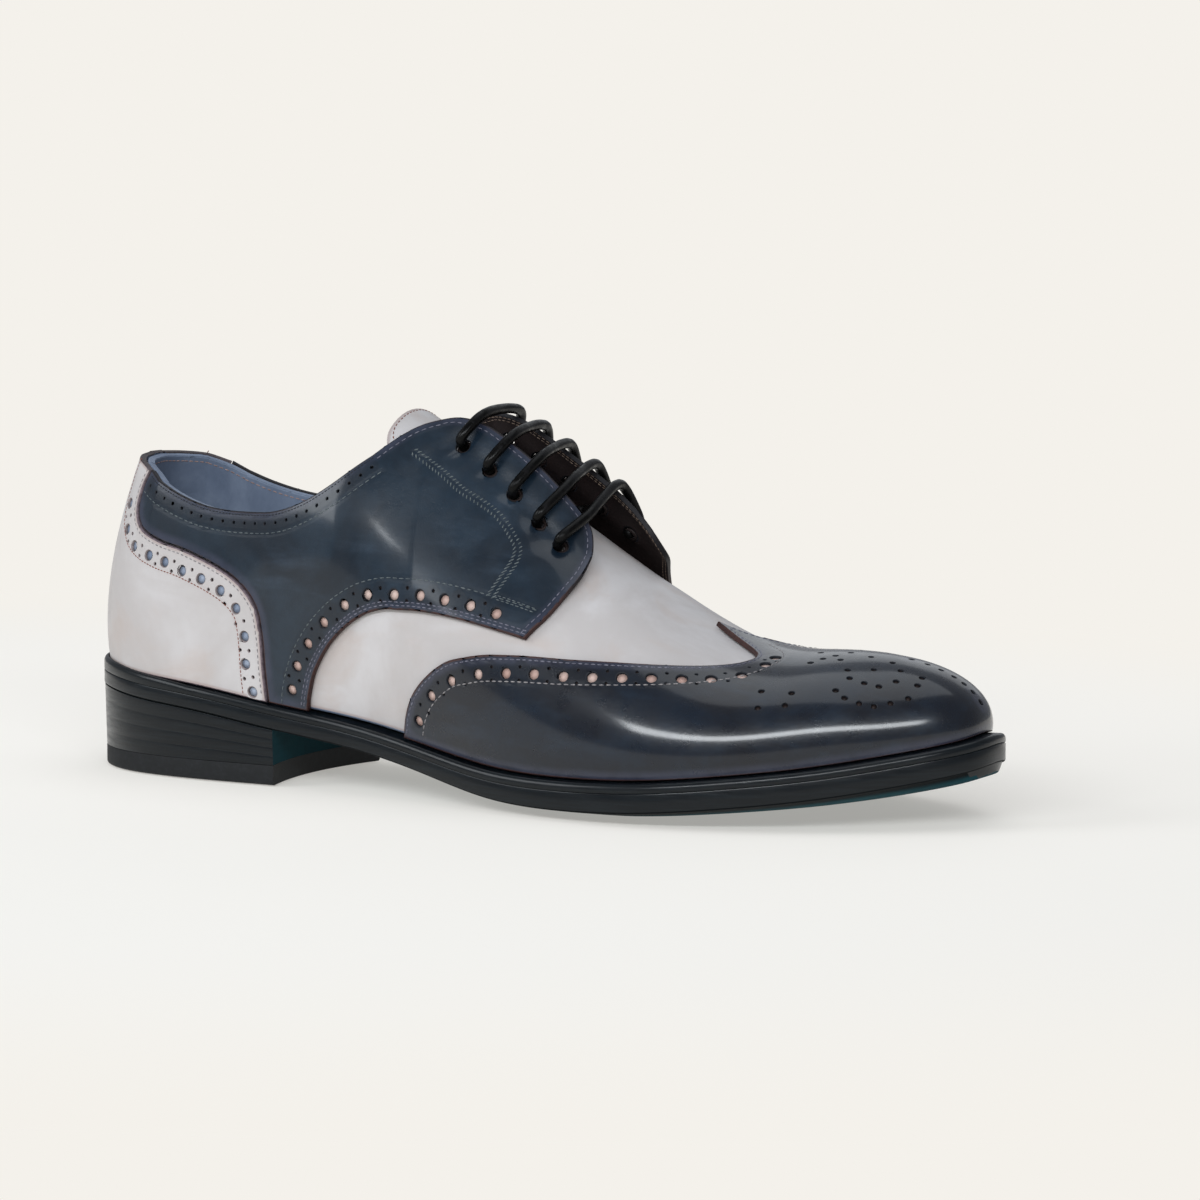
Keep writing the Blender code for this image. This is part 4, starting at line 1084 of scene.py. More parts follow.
def make_outsole(edge, bottom):
    def tread(place, share):
        low = np.maximum(sole_bottom(place) - TREAD_CROWN * (1.0 - THIN_SHARE(place)), 0.0)
        fall = np.clip((1.0 - np.abs(share)) / (1.0 - TREAD_SHARE), 0.0, 1.0)
        return sole_bottom(place) + (low - sole_bottom(place)) * np.sin(fall * math.pi / 2)

    top = WELT_THICKNESS + 0.05 * MM
    reach = WELT_REACH + 2 * SEAT_GAP
    profile = []
    for t in np.radians(np.linspace(90.0, 0.0, 5)):
        profile.append((EDGE_ROUND * (1 - math.cos(t)),
                        lambda p, t=t: sole_bottom(p) + EDGE_ROUND * (1 - math.sin(t))))
    for inset, drop in ((0.0, 0.35 * MM), (0.1 * MM, 0.1 * MM), (0.35 * MM, 0.0), (reach, 0.0)):
        profile.append((inset, lambda p, drop=drop: feather(p) - top - drop))
    bm = bmesh.new()
    lathe_round(bm, profile)
    cap(bm, EDGE_ROUND, sole_bottom, middle=tread)
    cap(bm, reach, lambda p: feather(p) - top, steps=5)
    made = settle(bm, "sole_leather", [edge, bottom],
                  choose=lambda face: int(face.normal.z < -0.55))
    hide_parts("outsole")


def make_welt(finish):
    def lip(place):
        behind = np.clip(1.0 - np.abs(place) / RAND_END, 0.0, 1.0)
        return feather(place) + RAND_LIP * behind ** 0.7

    def base(place):
        return feather(place) - WELT_THICKNESS

    profile = [(WELT_REACH, base), (0.3 * MM, base), (0.08 * MM, lambda p: base(p) + 0.08 * MM),
               (0.0, lambda p: base(p) + 0.3 * MM)]
    for t in np.radians(np.linspace(0.0, 90.0, 6)):
        profile.append((RAND_WIDTH * (1 - math.cos(t)),
                        lambda p, t=t: lip(p) - WELT_ROUND * (1 - math.sin(t))))
    profile += [(RAND_WIDTH + RAND_SLOPE, feather), (WELT_REACH, feather), (WELT_REACH, base)]
    bm = bmesh.new()
    lathe_round(bm, profile)
    made = settle(bm, "storm_welt", [finish])
    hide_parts("welt")


def heel_slice(name, finishes, low, high, profile, node):
    """Part of the heel between two heights; the profile gives shares of its height and insets."""
    places = np.linspace(0.0, 0.6, 601)
    corner = float(np.interp(HEEL_LENGTH, EDGE_X(places), places))
    around = np.linspace(-corner, corner, 121)
    steps = np.linspace(0.0, 1.0, 21)[1:]
    count = len(around) + len(steps)

    def put(number, row):
        number = np.round(number).astype(int)
        points = np.zeros((len(number), 3))
        for k, (share, inset) in enumerate(profile):
            rows = np.round(row).astype(int) == k
            height = low(around) * (1 - share) + high(around) * share
            rim = edge_point(around, inset, height)
            breast = rim[-1] + (rim[0] - rim[-1]) * steps[:, None]
            breast[:, 0] -= HEEL_BREAST_CURVE * 4 * steps * (1 - steps)
            breast[:, 2] = np.interp(breast[:, 0], [rim[:, 0].min(), rim[-1, 0]],
                                     [height[len(around) // 2], height[-1]])
            points[rows] = np.vstack([rim, breast])[number[rows]]
        return points

    bm = bmesh.new()
    ring_grid(bm, list(range(count)), list(range(len(profile))), put)
    bmesh.ops.remove_doubles(bm, verts=bm.verts, dist=0.01 * MM)
    bmesh.ops.holes_fill(bm, edges=[e for e in bm.edges if e.is_boundary], sides=0)
    made = settle(bm, name, finishes, choose=lambda face: int(face.normal.x > 0.6), sharp=30.0)
    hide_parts(node)


def make_heel(stack, breast, piece):
    rows = []
    for lift in range(LIFTS):
        bottom, top = lift / LIFTS, (lift + 1) / LIFTS
        rows += [(bottom, LIFT_GROOVE), (bottom + 0.012, 0.0), (top - 0.012, 0.0)]
    rows.append((1.0, LIFT_GROOVE))
    lean = [(share, inset + HEEL_TAPER + (HEEL_TOP_INSET - HEEL_TAPER) * share) for share, inset in rows]
    heel_slice("heel_lifts", [stack, breast], lambda p: np.full(np.shape(p), TOP_PIECE + 0.05 * MM),
               lambda p: sole_bottom(p) - 0.05 * MM, lean, "heel_stack")
    edge = [(0.0, HEEL_TAPER + 0.6 * MM), (0.03, HEEL_TAPER + 0.25 * MM), (0.1, HEEL_TAPER),
            (0.94, HEEL_TAPER), (0.98, HEEL_TAPER + 0.08 * MM), (1.0, HEEL_TAPER + 0.3 * MM)]
    heel_slice("heel_top_piece", [piece, piece], lambda p: np.zeros(np.shape(p)),
               lambda p: np.full(np.shape(p), TOP_PIECE), edge, "top_piece")


def make_insole(finish):
    def inset(place):
        return LEDGE(place) + OVERLAY + WALL + 3 * GAP

    def low(place):
        return feather(place) + SEAT_GAP

    def hollow(place, share):
        return low(place) + INSOLE_THICKNESS - 0.5 * MM * np.cos(share * math.pi / 2)

    bm = bmesh.new()
    profile = [(inset, low), (inset, lambda p: low(p) + INSOLE_THICKNESS)]
    lathe_round(bm, profile)
    cap(bm, inset, low, steps=5)
    cap(bm, inset, lambda p: low(p) + INSOLE_THICKNESS, middle=hollow)
    made = settle(bm, "sock", [finish])
    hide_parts("insole")


def spread(holes, radius, sides=(-1, 1)):
    return [(side * a, b, radius) for side in sides for a, b in holes]


def pin_pairs(chart, holes, gap, side):
    """A pair of pinholes half way between neighbouring holes, one on each side of the row."""
    line = np.array(sided(holes, side))
    middle = (line[1:] + line[:-1]) / 2
    points, first, second, _ = chart.frames(middle[:, 0], middle[:, 1])
    here = chart.surface(line[:, 0], line[:, 1])
    ways = unit(here[1:] - here[:-1])
    made = []
    for i, (place, up) in enumerate(middle):
        run = np.array([(ways[i] * first[i]).sum(), (ways[i] * second[i]).sum()])
        step = np.linalg.inv(chart.stretch(place, up)) @ np.array([-run[1], run[0]]) * gap
        for sign in (-1, 1):
            made.append((place + sign * step[0] / chart.wide, up + sign * step[1] / chart.tall,
                         PIN_HOLE))
    return made


def make_upper(vamp, lining):
    edge = smooth_line(TOPLINE) + smooth_line(THROAT)
    outline = [(-1.0, 0.0), (1.0, 0.0), (1.0, 1.0)] + edge[::-1] + mirrored(edge[1:]) + [(-1.0, 1.0)]
    face = OVERLAY_FACE - OVERLAY - GAP
    made = leather("vamp_and_lining", Chart(vamp_point), [outline], VAMP_CELL, face, face - WALL,
                   VAMP_SOFT, [vamp, lining, lining])
    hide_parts("upper")


def make_counter(finishes, rows):
    chart = Chart(last_point)
    edge = smooth_line(COUNTER_EDGE)
    top = smooth_line([p for p in TOPLINE if p[0] < COUNTER_TOP])
    outline = edge[:-1] + top[::-1] + mirrored(top[1:]) + mirrored(edge[:-1])[::-1]
    holes = spread(COUNTER_HOLES, COUNTER_HOLE)
    for side in (-1, 1):
        holes += pin_pairs(chart, COUNTER_HOLES, COUNTER_PINS, side)
    holes += spread(STRAP_HOLES, STRAP_HOLE)
    back = OVERLAY_FACE - OVERLAY
    made = leather("heel_counter", chart, [outline], OVERLAY_CELL, back + COUNTER_OVERLAY, back,
                   COUNTER_SOFT, finishes, holes, named(rows, "counter_edge", "counter_inner"))
    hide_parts("counter")


def medallion():
    """The toe's punched pattern, with the middle line that both sides share."""
    holes = spread(MEDALLION, MEDALLION_HOLE)
    for side in (-1.0, 1.0):
        holes += [(side, up, MEDALLION_HOLE) for up in MEDALLION_TOE]
    return holes


def make_wing_cap(finishes, rows):
    chart = Chart(last_point)
    half = smooth_line(WING_EDGE) + [(1.0, 1.0), (1.0, 0.0)]
    holes = spread(WING_HOLES, BAND_HOLE) + medallion()
    for side in (-1, 1):
        holes += pin_pairs(chart, WING_HOLES, BAND_PINS, side)
    made = leather("wing_tip", chart, [half, mirrored(half)[::-1]], OVERLAY_CELL, OVERLAY_FACE,
                   OVERLAY_FACE - OVERLAY, OVERLAY_SOFT, finishes, holes,
                   named(rows, "wing_edge", "wing_inner"))
    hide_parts("wing_cap")


def make_quarter(name, node, facing, sweep, eyelets, side, finishes, rows):
    """One quarter with its facing; side is -1 for the outer one."""
    chart = Chart(quarter_leather)
    seam = [(a + SEAM_STEP, b + 2 * SEAM_STEP) for a, b in smooth_line(COUNTER_EDGE)]
    seam[0] = (seam[0][0], 0.0)
    top = [p for p in TOPLINE if p[0] > COUNTER_TOP]
    outline = seam
    for line in (top, QUARTER_TOP, facing):
        outline = outline + smooth_line(line)[:-1]
    outline = sided(outline + smooth_line(sweep), side)
    punched = spread(eyelets, EYELET / 2 / MM, [side]) + spread(SWEEP_HOLES, BAND_HOLE, [side])
    punched += pin_pairs(chart, SWEEP_HOLES, BAND_PINS, side)
    pins = spaced(chart, rows["collar_pins", side][0], COLLAR_PITCH, COLLAR_ENDS, COLLAR_ENDS)
    punched += [(a, b, PIN_HOLE) for a, b in pins]
    sewn = named(rows, "sweep_edge", "sweep_inner", "collar_edge", "collar_inner", "facing",
                 "facing_foot", "zigzag", sides=[side])
    made = leather(name, chart, [outline], QUARTER_CELL, OVERLAY_FACE, OVERLAY_FACE - OVERLAY,
                   OVERLAY_SOFT, finishes, punched, sewn)
    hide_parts(node)


def tongue_chart():
    return Chart(tongue_sheet, wide=TONGUE_WIDE, tall=TONGUE_TALL, closed=False)


def tongue_corner(half, top, shoulder, count):
    """A rounded upper corner of the tongue, in shares of its half width and its length."""
    return [(half - shoulder * (1 - math.cos(t)), top - TONGUE_ARCH * (1 - math.sin(t)))
            for t in np.linspace(0.0, math.pi / 2, count)]


def make_tongue(finish):
    corner = tongue_corner(1.0, 1.0, TONGUE_SHOULDER, 12)
    outline = [(-1.0, 0.0), (1.0, 0.0)] + corner + mirrored(corner[:-1])[::-1]
    made = leather("tongue_leather", tongue_chart(), [outline], TONGUE_CELL, 0.0, -TONGUE_THICKNESS,
                   TONGUE_SOFT, [finish, finish, finish])
    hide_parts("tongue")


def make_eyelet_linings(finish):
    """A dark ring of lining inside each eyelet, snug round the lace."""
    chart = Chart(quarter_leather)
    ring = bmesh.new()
    corners = [ring.verts.new((x * MM, 0.0, z * MM)) for x, z in EYELET_LINING]
    edges = [ring.edges.new((corners[i - 1], corners[i])) for i in range(len(corners))]
    bmesh.ops.spin(ring, geom=corners + edges, cent=(0, 0, 0), axis=(0, 0, 1), angle=2 * math.pi,
                   steps=PUNCH_SIDES, use_merge=True)
    bmesh.ops.recalc_face_normals(ring, faces=ring.faces)
    places = np.array(mirrored(OUTER_EYELETS) + INNER_EYELETS)
    points, first, second, out = chart.frames(places[:, 0], places[:, 1])
    made = tile(ring, "eyelet_linings", finish, points, np.stack([first, second, out], 1))


def eyelet_frames(eyelets, side):
    """The places of one side's eyelets and the ways out of its facing."""
    places = np.array(sided(eyelets, side))
    points, _, _, out = Chart(quarter_point).frames(places[:, 0], places[:, 1])
    return points, out


def over_facing(crossing, side):
    """A point of the lace just clear of the facing's edge."""
    points, _, _, out = Chart(quarter_point).frames([side * crossing], [FACING_RIM])
    return points[0] + out[0] * LACE_OVER


def lace_route():
    """Five bars over the throat and the runs below the facings that join them."""
    outer, outer_out = eyelet_frames(OUTER_EYELETS, -1)
    inner, inner_out = eyelet_frames(INNER_EYELETS, 1)
    route = []
    depths = (-LACE_UNDER, 0.0, LACE_OVER)
    for i in range(len(OUTER_EYELETS)):
        rims = over_facing(OUTER_CROSSINGS[i], -1), over_facing(INNER_CROSSINGS[i], 1)
        middle = (rims[0] + rims[1]) / 2
        middle[2] += LACE_ARCH
        route += [outer[i] + outer_out[i] * depth for depth in depths]
        route += [rims[0], middle, rims[1]]
        route += [inner[i] + inner_out[i] * depth for depth in depths[::-1]]
        if i < len(OUTER_EYELETS) - 1:
            start = inner[i] - inner_out[i] * LACE_UNDER
            end = outer[i + 1] - outer_out[i + 1] * LACE_UNDER
            across = (start + end) / 2
            across[2] += LACE_RISES[i]
            route.append(across)
    return np.array(route)


def make_lace(finish):
    """One round braided cord; its own map runs along it and round it."""
    fine = np.array(smooth_line(lace_route(), 2))
    points = [p for i, p in enumerate(fine)
              if i % 2 == 0 or np.linalg.norm(fine[i + 1] - fine[i - 1]) > 5 * MM]
    points = np.array(smooth_line(points, 4))
    run = np.concatenate([[0.0], np.cumsum(np.linalg.norm(np.diff(points, axis=0), axis=1))])
    steps = np.linspace(0.0, run[-1], int(run[-1] / LACE_STEP))
    path = np.stack([np.interp(steps, run, points[:, i]) for i in range(3)], -1)
    for _ in range(2):
        path[1:-1] = path[1:-1] * 0.5 + (path[2:] + path[:-2]) * 0.25
    ways = unit(np.gradient(path, axis=0))
    sides = [unit(np.cross(ways[0], (0.0, 0.0, 1.0)))]
    for way in ways[1:]:
        side = sides[-1] - way * (sides[-1] * way).sum()
        sides.append(unit(side))
    sides = np.array(sides)
    tops = np.cross(ways, sides)

    def put(number, turn):
        number = np.round(number).astype(int)
        angle = (turn * 2 * math.pi)[:, None]
        return path[number] + (sides[number] * np.cos(angle) + tops[number] * np.sin(angle)) * LACE / 2

    bm = bmesh.new()
    ring_grid(bm, list(range(len(path))), list(np.linspace(0.0, 1.0, 13)), put)
    bmesh.ops.remove_doubles(bm, verts=bm.verts, dist=0.01 * MM)
    bmesh.ops.holes_fill(bm, edges=[e for e in bm.edges if e.is_boundary], sides=0)
    bmesh.ops.recalc_face_normals(bm, faces=bm.faces)
    made = keep(bm, "round_lace", [finish])
    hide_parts("lace")


class Finish:
    """A material in the making: its surface and the nodes that feed it."""

    def __init__(self, name, roughness, **fixed):
        self.material = bpy.data.materials.new(name)
        self.material.use_nodes = True
        self.nodes = self.material.node_tree.nodes
        self.surface = self.nodes["Principled BSDF"]
        self.surface.inputs["Roughness"].default_value = roughness
        for socket, value in fixed.items():
            self.surface.inputs[socket.replace("_", " ")].default_value = value
        self.place = self.nodes.new("ShaderNodeTexCoord").outputs["Object"]

    def wire(self, value, socket):
        if isinstance(value, bpy.types.NodeSocket):
            self.material.node_tree.links.new(value, socket)
        else:
            socket.default_value = (*value, 1.0) if isinstance(value, tuple) and len(value) == 3 else value

    def feed(self, socket, value):
        self.wire(value, self.surface.inputs[socket])

    def attribute(self, name):
        node = self.nodes.new("ShaderNodeAttribute")
        node.attribute_name = name
        return node.outputs["Fac"]

    def stretched(self, scale, turn=(0.0, 0.0, 0.0)):
        node = self.nodes.new("ShaderNodeMapping")
        self.wire(self.place, node.inputs["Vector"])
        node.inputs["Scale"].default_value = scale
        node.inputs["Rotation"].default_value = turn
        return node.outputs["Vector"]

    def noise(self, scale, detail=3.0, rough=0.55, place=None, warp=0.0):
        node = self.nodes.new("ShaderNodeTexNoise")
        self.wire(place or self.place, node.inputs["Vector"])
        for name, value in (("Scale", scale), ("Detail", detail), ("Roughness", rough), ("Distortion", warp)):
            node.inputs[name].default_value = value
        return node.outputs["Fac"]

    def cells(self, scale):
        node = self.nodes.new("ShaderNodeTexVoronoi")
        self.wire(self.place, node.inputs["Vector"])
        node.inputs["Scale"].default_value = scale
        return node.outputs["Distance"]

    def split(self, vector):
        """Three outputs, named X, Y and Z."""
        node = self.nodes.new("ShaderNodeSeparateXYZ")
        self.wire(vector, node.inputs[0])
        return node.outputs

    def ease(self, value, low, high, start=0.0, end=1.0):
        """Goes softly from start at low to end at high."""
        node = self.nodes.new("ShaderNodeMapRange")
        node.interpolation_type = "SMOOTHSTEP"
        numbers = (high, low, end, start) if low > high else (low, high, start, end)
        self.wire(value, node.inputs["Value"])
        for name, number in zip(("From Min", "From Max", "To Min", "To Max"), numbers):
            node.inputs[name].default_value = number
        return node.outputs["Result"]

    def sum(self, kind, first, second=0.0, third=0.0):
        node = self.nodes.new("ShaderNodeMath")
        node.operation = kind
        for value, socket in zip((first, second, third), node.inputs):
            self.wire(value, socket)
        return node.outputs[0]

    def blend(self, share, first, second):
        """A colour between two others; the sockets are the node's own for colours."""
        node = self.nodes.new("ShaderNodeMix")
        node.data_type = "RGBA"
        for value, socket in ((share, 0), (first, 6), (second, 7)):
            self.wire(value, node.inputs[socket])
        return node.outputs[2]

    def bump(self, layers):
        """Layers of height, each with the millimetres that it stands for."""
        total = None
        for height, size in layers:
            here = self.sum("MULTIPLY", height, size)
            total = here if total is None else self.sum("ADD", total, here)
        node = self.nodes.new("ShaderNodeBump")
        node.inputs["Distance"].default_value = MM
        node.inputs["Strength"].default_value = 1.0
        self.wire(total, node.inputs["Height"])
        self.feed("Normal", node.outputs[0])


def calf_grain(f):
    """Fine pores and creases of smooth calf, as two heights from 0 to 1."""
    pores = f.ease(f.cells(1500.0), 0.02, 0.35)
    folds = f.noise(900.0, 4.0, 0.6, warp=0.4)
    return pores, folds


def seam_sink(f):
    """One along a seam, falling to nothing a little more than a millimetre away."""
    return f.ease(f.attribute("seam_mm"), 1.5, 0.1)


def navy_finish(name, deep, mid, light, rough, shine):
    """Hand-coloured navy calf: cloudy, paler and purple where it is thinned at its edges, with painted shade
    in a ring round each punched hole.
    """
    f = Finish(name, rough, Specular_IOR_Level=0.20, Coat_Weight=shine, Coat_Roughness=0.13, Coat_IOR=1.45)
    rim, hole = f.attribute("rim_mm"), f.attribute("hole_mm")
    clouds = f.ease(f.noise(38.0, 4.0, 0.6, warp=0.6), 0.34, 0.68)
    streaks = f.noise(90.0, 3.0, 0.6, place=f.stretched((0.35, 1.0, 1.5), (0.0, 0.5, 0.0)))
    fine = f.noise(420.0, 3.0, 0.65)
    colour = f.blend(clouds, deep, mid)
    colour = f.blend(f.ease(streaks, 0.50, 0.80, 0.0, 0.55), colour, light)
    colour = f.blend(f.ease(fine, 0.35, 0.75, 0.0, 0.30), colour, deep)
    halo = f.sum("MULTIPLY", f.ease(rim, 3.2, 0.8), f.ease(f.noise(120.0), 0.25, 0.6, 0.45, 1.0))
    colour = f.blend(f.sum("MULTIPLY", halo, 0.55), colour, (0.044, 0.048, 0.080))
    colour = f.blend(f.ease(rim, 0.35, 0.0, 0.0, 0.5), colour, (0.050, 0.026, 0.024))
    # Painted shade: a dark ring round each punched hole, for the hollow that the punch presses in.
    colour = f.blend(f.ease(hole, 2.7, 1.9, 0.0, 0.35), colour, (0.004, 0.006, 0.010))
    sink = seam_sink(f)
    colour = f.blend(f.sum("MULTIPLY", sink, 0.25), colour, deep)
    f.feed("Base Color", colour)
    f.feed("Roughness", f.ease(f.noise(160.0, 4.0), 0.3, 0.7, rough - 0.05, rough + 0.07))
    pores, folds = calf_grain(f)
    f.bump([(pores, 0.020), (folds, 0.040), (sink, -0.12), (clouds, 0.05)])
    return f.material


def pale_finish(name):
    """Off-white calf with soft beige smudges, burnished darker along its edges."""
    f = Finish(name, 0.42, Specular_IOR_Level=0.3, Coat_Weight=0.10, Coat_Roughness=0.3)
    rim = f.attribute("rim_mm")
    clouds = f.noise(24.0, 4.0, 0.6, warp=0.8)
    smudge = f.noise(48.0, 4.0, 0.6, place=f.stretched((0.6, 1.0, 1.0)), warp=0.5)
    colour = f.blend(f.ease(clouds, 0.38, 0.68), (0.455, 0.430, 0.425), (0.535, 0.518, 0.522))
    colour = f.blend(f.ease(smudge, 0.50, 0.74, 0.0, 0.50), colour, (0.450, 0.370, 0.330))
    colour = f.blend(f.ease(f.noise(300.0, 3.0), 0.4, 0.8, 0.0, 0.15), colour, (0.42, 0.37, 0.36))
    colour = f.blend(f.ease(rim, 1.1, 0.2, 0.0, 0.55), colour, (0.33, 0.24, 0.22))
    sink = seam_sink(f)
    colour = f.blend(f.sum("MULTIPLY", sink, 0.22), colour, (0.36, 0.26, 0.24))
    f.feed("Base Color", colour)
    f.feed("Roughness", f.ease(f.noise(140.0, 4.0), 0.3, 0.7, 0.36, 0.50))
    pores, folds = calf_grain(f)
    f.bump([(pores, 0.012), (folds, 0.022), (sink, -0.08), (clouds, 0.10)])
    return f.material


def cut_edge(name, low_colour, high_colour, hole_colour, low, high):
    """A cut and dyed leather edge: one colour low down, one at the collar and one inside the holes."""
    f = Finish(name, 0.6, Specular_IOR_Level=0.3)
    colour = f.blend(f.ease(f.split(f.place)["Z"], low * MM, high * MM), low_colour, high_colour)
    colour = f.blend(f.ease(f.attribute("hole_mm"), 2.8, 2.4), colour, hole_colour)
    colour = f.blend(f.ease(f.noise(700.0, 4.0), 0.35, 0.7, 0.0, 0.5), colour, (0.012, 0.009, 0.010))
    f.feed("Base Color", colour)
    f.bump([(f.noise(1300.0, 3.0), 0.05)])
    return f.material


def lining_finish(name, dark, light):
    """Unfinished lining calf, cloudy and matt."""
    f = Finish(name, 0.62, Specular_IOR_Level=0.3)
    clouds = f.ease(f.noise(42.0, 4.0, 0.6, warp=0.7), 0.3, 0.7)
    colour = f.blend(clouds, dark, light)
    colour = f.blend(f.ease(f.noise(500.0, 4.0), 0.4, 0.8, 0.0, 0.4), colour, dark)
    f.feed("Base Color", colour)
    pores, folds = calf_grain(f)
    f.bump([(pores, 0.02), (folds, 0.04), (clouds, 0.08)])
    return f.material


def edge_finish(name, dark, light, rough):
    """Waxed and ironed sole edge: near black, with long faint lines of the leather's layers."""
    f = Finish(name, rough, Specular_IOR_Level=0.16, Coat_Weight=0.40, Coat_Roughness=0.16, Coat_IOR=1.42)
    layers = f.noise(60.0, 4.0, 0.6, place=f.stretched((1.0, 1.0, 26.0)))
    scuffs = f.noise(150.0, 5.0, 0.65, place=f.stretched((0.4, 0.4, 3.0)))
    colour = f.blend(f.ease(layers, 0.40, 0.70), dark, light)
    colour = f.blend(f.ease(scuffs, 0.60, 0.82, 0.0, 0.5), colour, (0.009, 0.014, 0.016))
    f.feed("Base Color", colour)
    f.feed("Roughness", f.ease(scuffs, 0.35, 0.7, rough - 0.06, rough + 0.12))
    f.bump([(layers, 0.05), (scuffs, 0.06), (f.noise(800.0, 3.0), 0.02)])
    return f.material


def sole_bottom_finish(name, edged, deep, bright):
    """Teal-dyed sole leather with fibres along the foot, black where the edge wax laps over it."""
    f = Finish(name, 0.7, Specular_IOR_Level=0.08)
    fibre = f.noise(260.0, 4.0, 0.6, place=f.stretched((0.2, 1.0, 1.0)))
    clouds = f.noise(30.0, 3.0)
    colour = f.blend(f.ease(clouds, 0.35, 0.7), deep, bright)
    colour = f.blend(f.ease(fibre, 0.45, 0.8, 0.0, 0.5), colour, (0.003, 0.020, 0.028))
    if edged:
        colour = f.blend(f.ease(f.attribute("inner_share"), 0.04, 0.22), (0.0015, 0.003, 0.004), colour)
    f.feed("Base Color", colour)
    f.bump([(fibre, 0.05)])
    return f.material


def rubber_finish(name):
    f = Finish(name, 0.66, Specular_IOR_Level=0.35)
    spots = f.noise(600.0, 4.0, 0.6)
    f.feed("Base Color", f.blend(f.ease(spots, 0.4, 0.75), (0.002, 0.003, 0.004), (0.006, 0.007, 0.009)))
    f.bump([(spots, 0.06)])
    return f.material


def thread_finish(name, dark, light):
    f = Finish(name, 0.7, Specular_IOR_Level=0.3)
    spots = f.noise(1600.0, 3.0, 0.6)
    f.feed("Base Color", f.blend(f.ease(spots, 0.35, 0.7), dark, light))
    f.bump([(spots, 0.05)])
    return f.material


def cord_finish(name):
    """Waxed black cord: the plaits cross in a fine diamond net."""
    f = Finish(name, 0.36, Specular_IOR_Level=0.14)
    maps = f.split(f.nodes.new("ShaderNodeTexCoord").outputs["UV"])
    along = f.sum("MULTIPLY", maps["X"], CORD_TURNS)
    waves = []
    for sign in (1.0, -1.0):
        round_it = f.sum("MULTIPLY", maps["Y"], sign * 6.0)
        turn = f.sum("MULTIPLY", f.sum("ADD", along, round_it), 2 * math.pi)
        waves.append(f.sum("SINE", turn))
    net = f.ease(f.sum("MULTIPLY", waves[0], waves[1]), -0.7, 0.7)
    wear = f.noise(420.0, 4.0, 0.6)
    f.feed("Base Color", f.blend(f.ease(wear, 0.45, 0.75), (0.001, 0.001, 0.001), (0.004, 0.004, 0.005)))
    f.feed("Roughness", f.ease(wear, 0.35, 0.65, 0.24, 0.45))
    f.bump([(net, 0.30), (wear, 0.06)])
    return f.material


TONGUE_LINE = np.array(smooth_line(TONGUE, 8))


def plan_rows():
    """Chart lines of all stitching, and of the collar's pins, for each side of the shoe."""
    last, quarters = Chart(last_point), Chart(quarter_leather)
    topline = smooth_line(TOPLINE, ROW_PARTS)
    rows = {}

    def add(name, side, chart, line, distance):
        rows.setdefault((name, side), []).append(march(chart, sided(line, side), distance))

    for side, facing, sweep, away in ((-1, OUTER_FACING, OUTER_SWEEP, 0.0),
                                      (1, INNER_FACING, INNER_SWEEP, 0.02)):
        front = smooth_line(QUARTER_TOP, ROW_PARTS)[:-1] + smooth_line(facing, ROW_PARTS)
        edges = {
            "wing": (last, smooth_line(WING_EDGE, ROW_PARTS)),
            "counter": (last, smooth_line(COUNTER_EDGE, ROW_PARTS)),
            "topline": (last, topline),
            "collar": (quarters, [p for p in topline if p[0] > COUNTER_TOP]),
            "sweep": (quarters, smooth_line(sweep, ROW_PARTS)),
            "front": (quarters, front),
        }
        for name, edge, distance in ROW_PLAN:
            add(name, side, *edges[edge], side * distance)
        foot = [(a + away, b) for a, b in smooth_line(ZIGZAG_FOOT, ROW_PARTS)]
        for distance in (FOOT_ROW, -FOOT_ROW):
            add("facing_foot", side, quarters, foot, distance)
        seam = [(a + away * (a - 0.42) / 0.16, b) for a, b in smooth_line(ZIGZAG, ROW_PARTS)]
        rows["zigzag", side] = [np.array(sided(seam, side))]
    return rows


def named(rows, *names, sides=(-1, 1)):
    return [line for name in names for side in sides for line in rows[name, side]]


def make_rows(rows):
    """All stitching: one piece of joined stitches for each kind of row."""
    threads = {name: thread_finish(name + "_thread", *colours) for name, colours in THREADS.items()}
    charts = {"last": Chart(last_point), "quarters": Chart(quarter_leather)}
    for name, thread, chart, level, kinds, pitch, length, thick in STITCHES:
        cords(name, threads[thread], charts[chart], named(rows, *kinds), pitch, length, thick,
              STITCH_LEVELS[level])
    legs = [leg for line in named(rows, "zigzag") for way in (-1, 1)
            for leg in slanted(charts["quarters"], line, way * ZIGZAG_NEAR, way * ZIGZAG_FAR,
                               ZIGZAG_PITCH)]
    short_stitches("zigzag_stitches", threads["grey"], charts["quarters"], legs, ZIGZAG_THICK)
    half = [(0.86, 0.30), (0.86, 0.60)]
    corner = tongue_corner(0.86, 0.974, TONGUE_SHOULDER * 0.9, 14)
    arch = half + corner + mirrored(corner[:-1])[::-1] + mirrored(half)[::-1]
    cords("tongue_stitches", threads["brown"], tongue_chart(), [np.array(arch)], 1.7, 1.25, 0.34,
          -OVERLAY_FACE / MM)


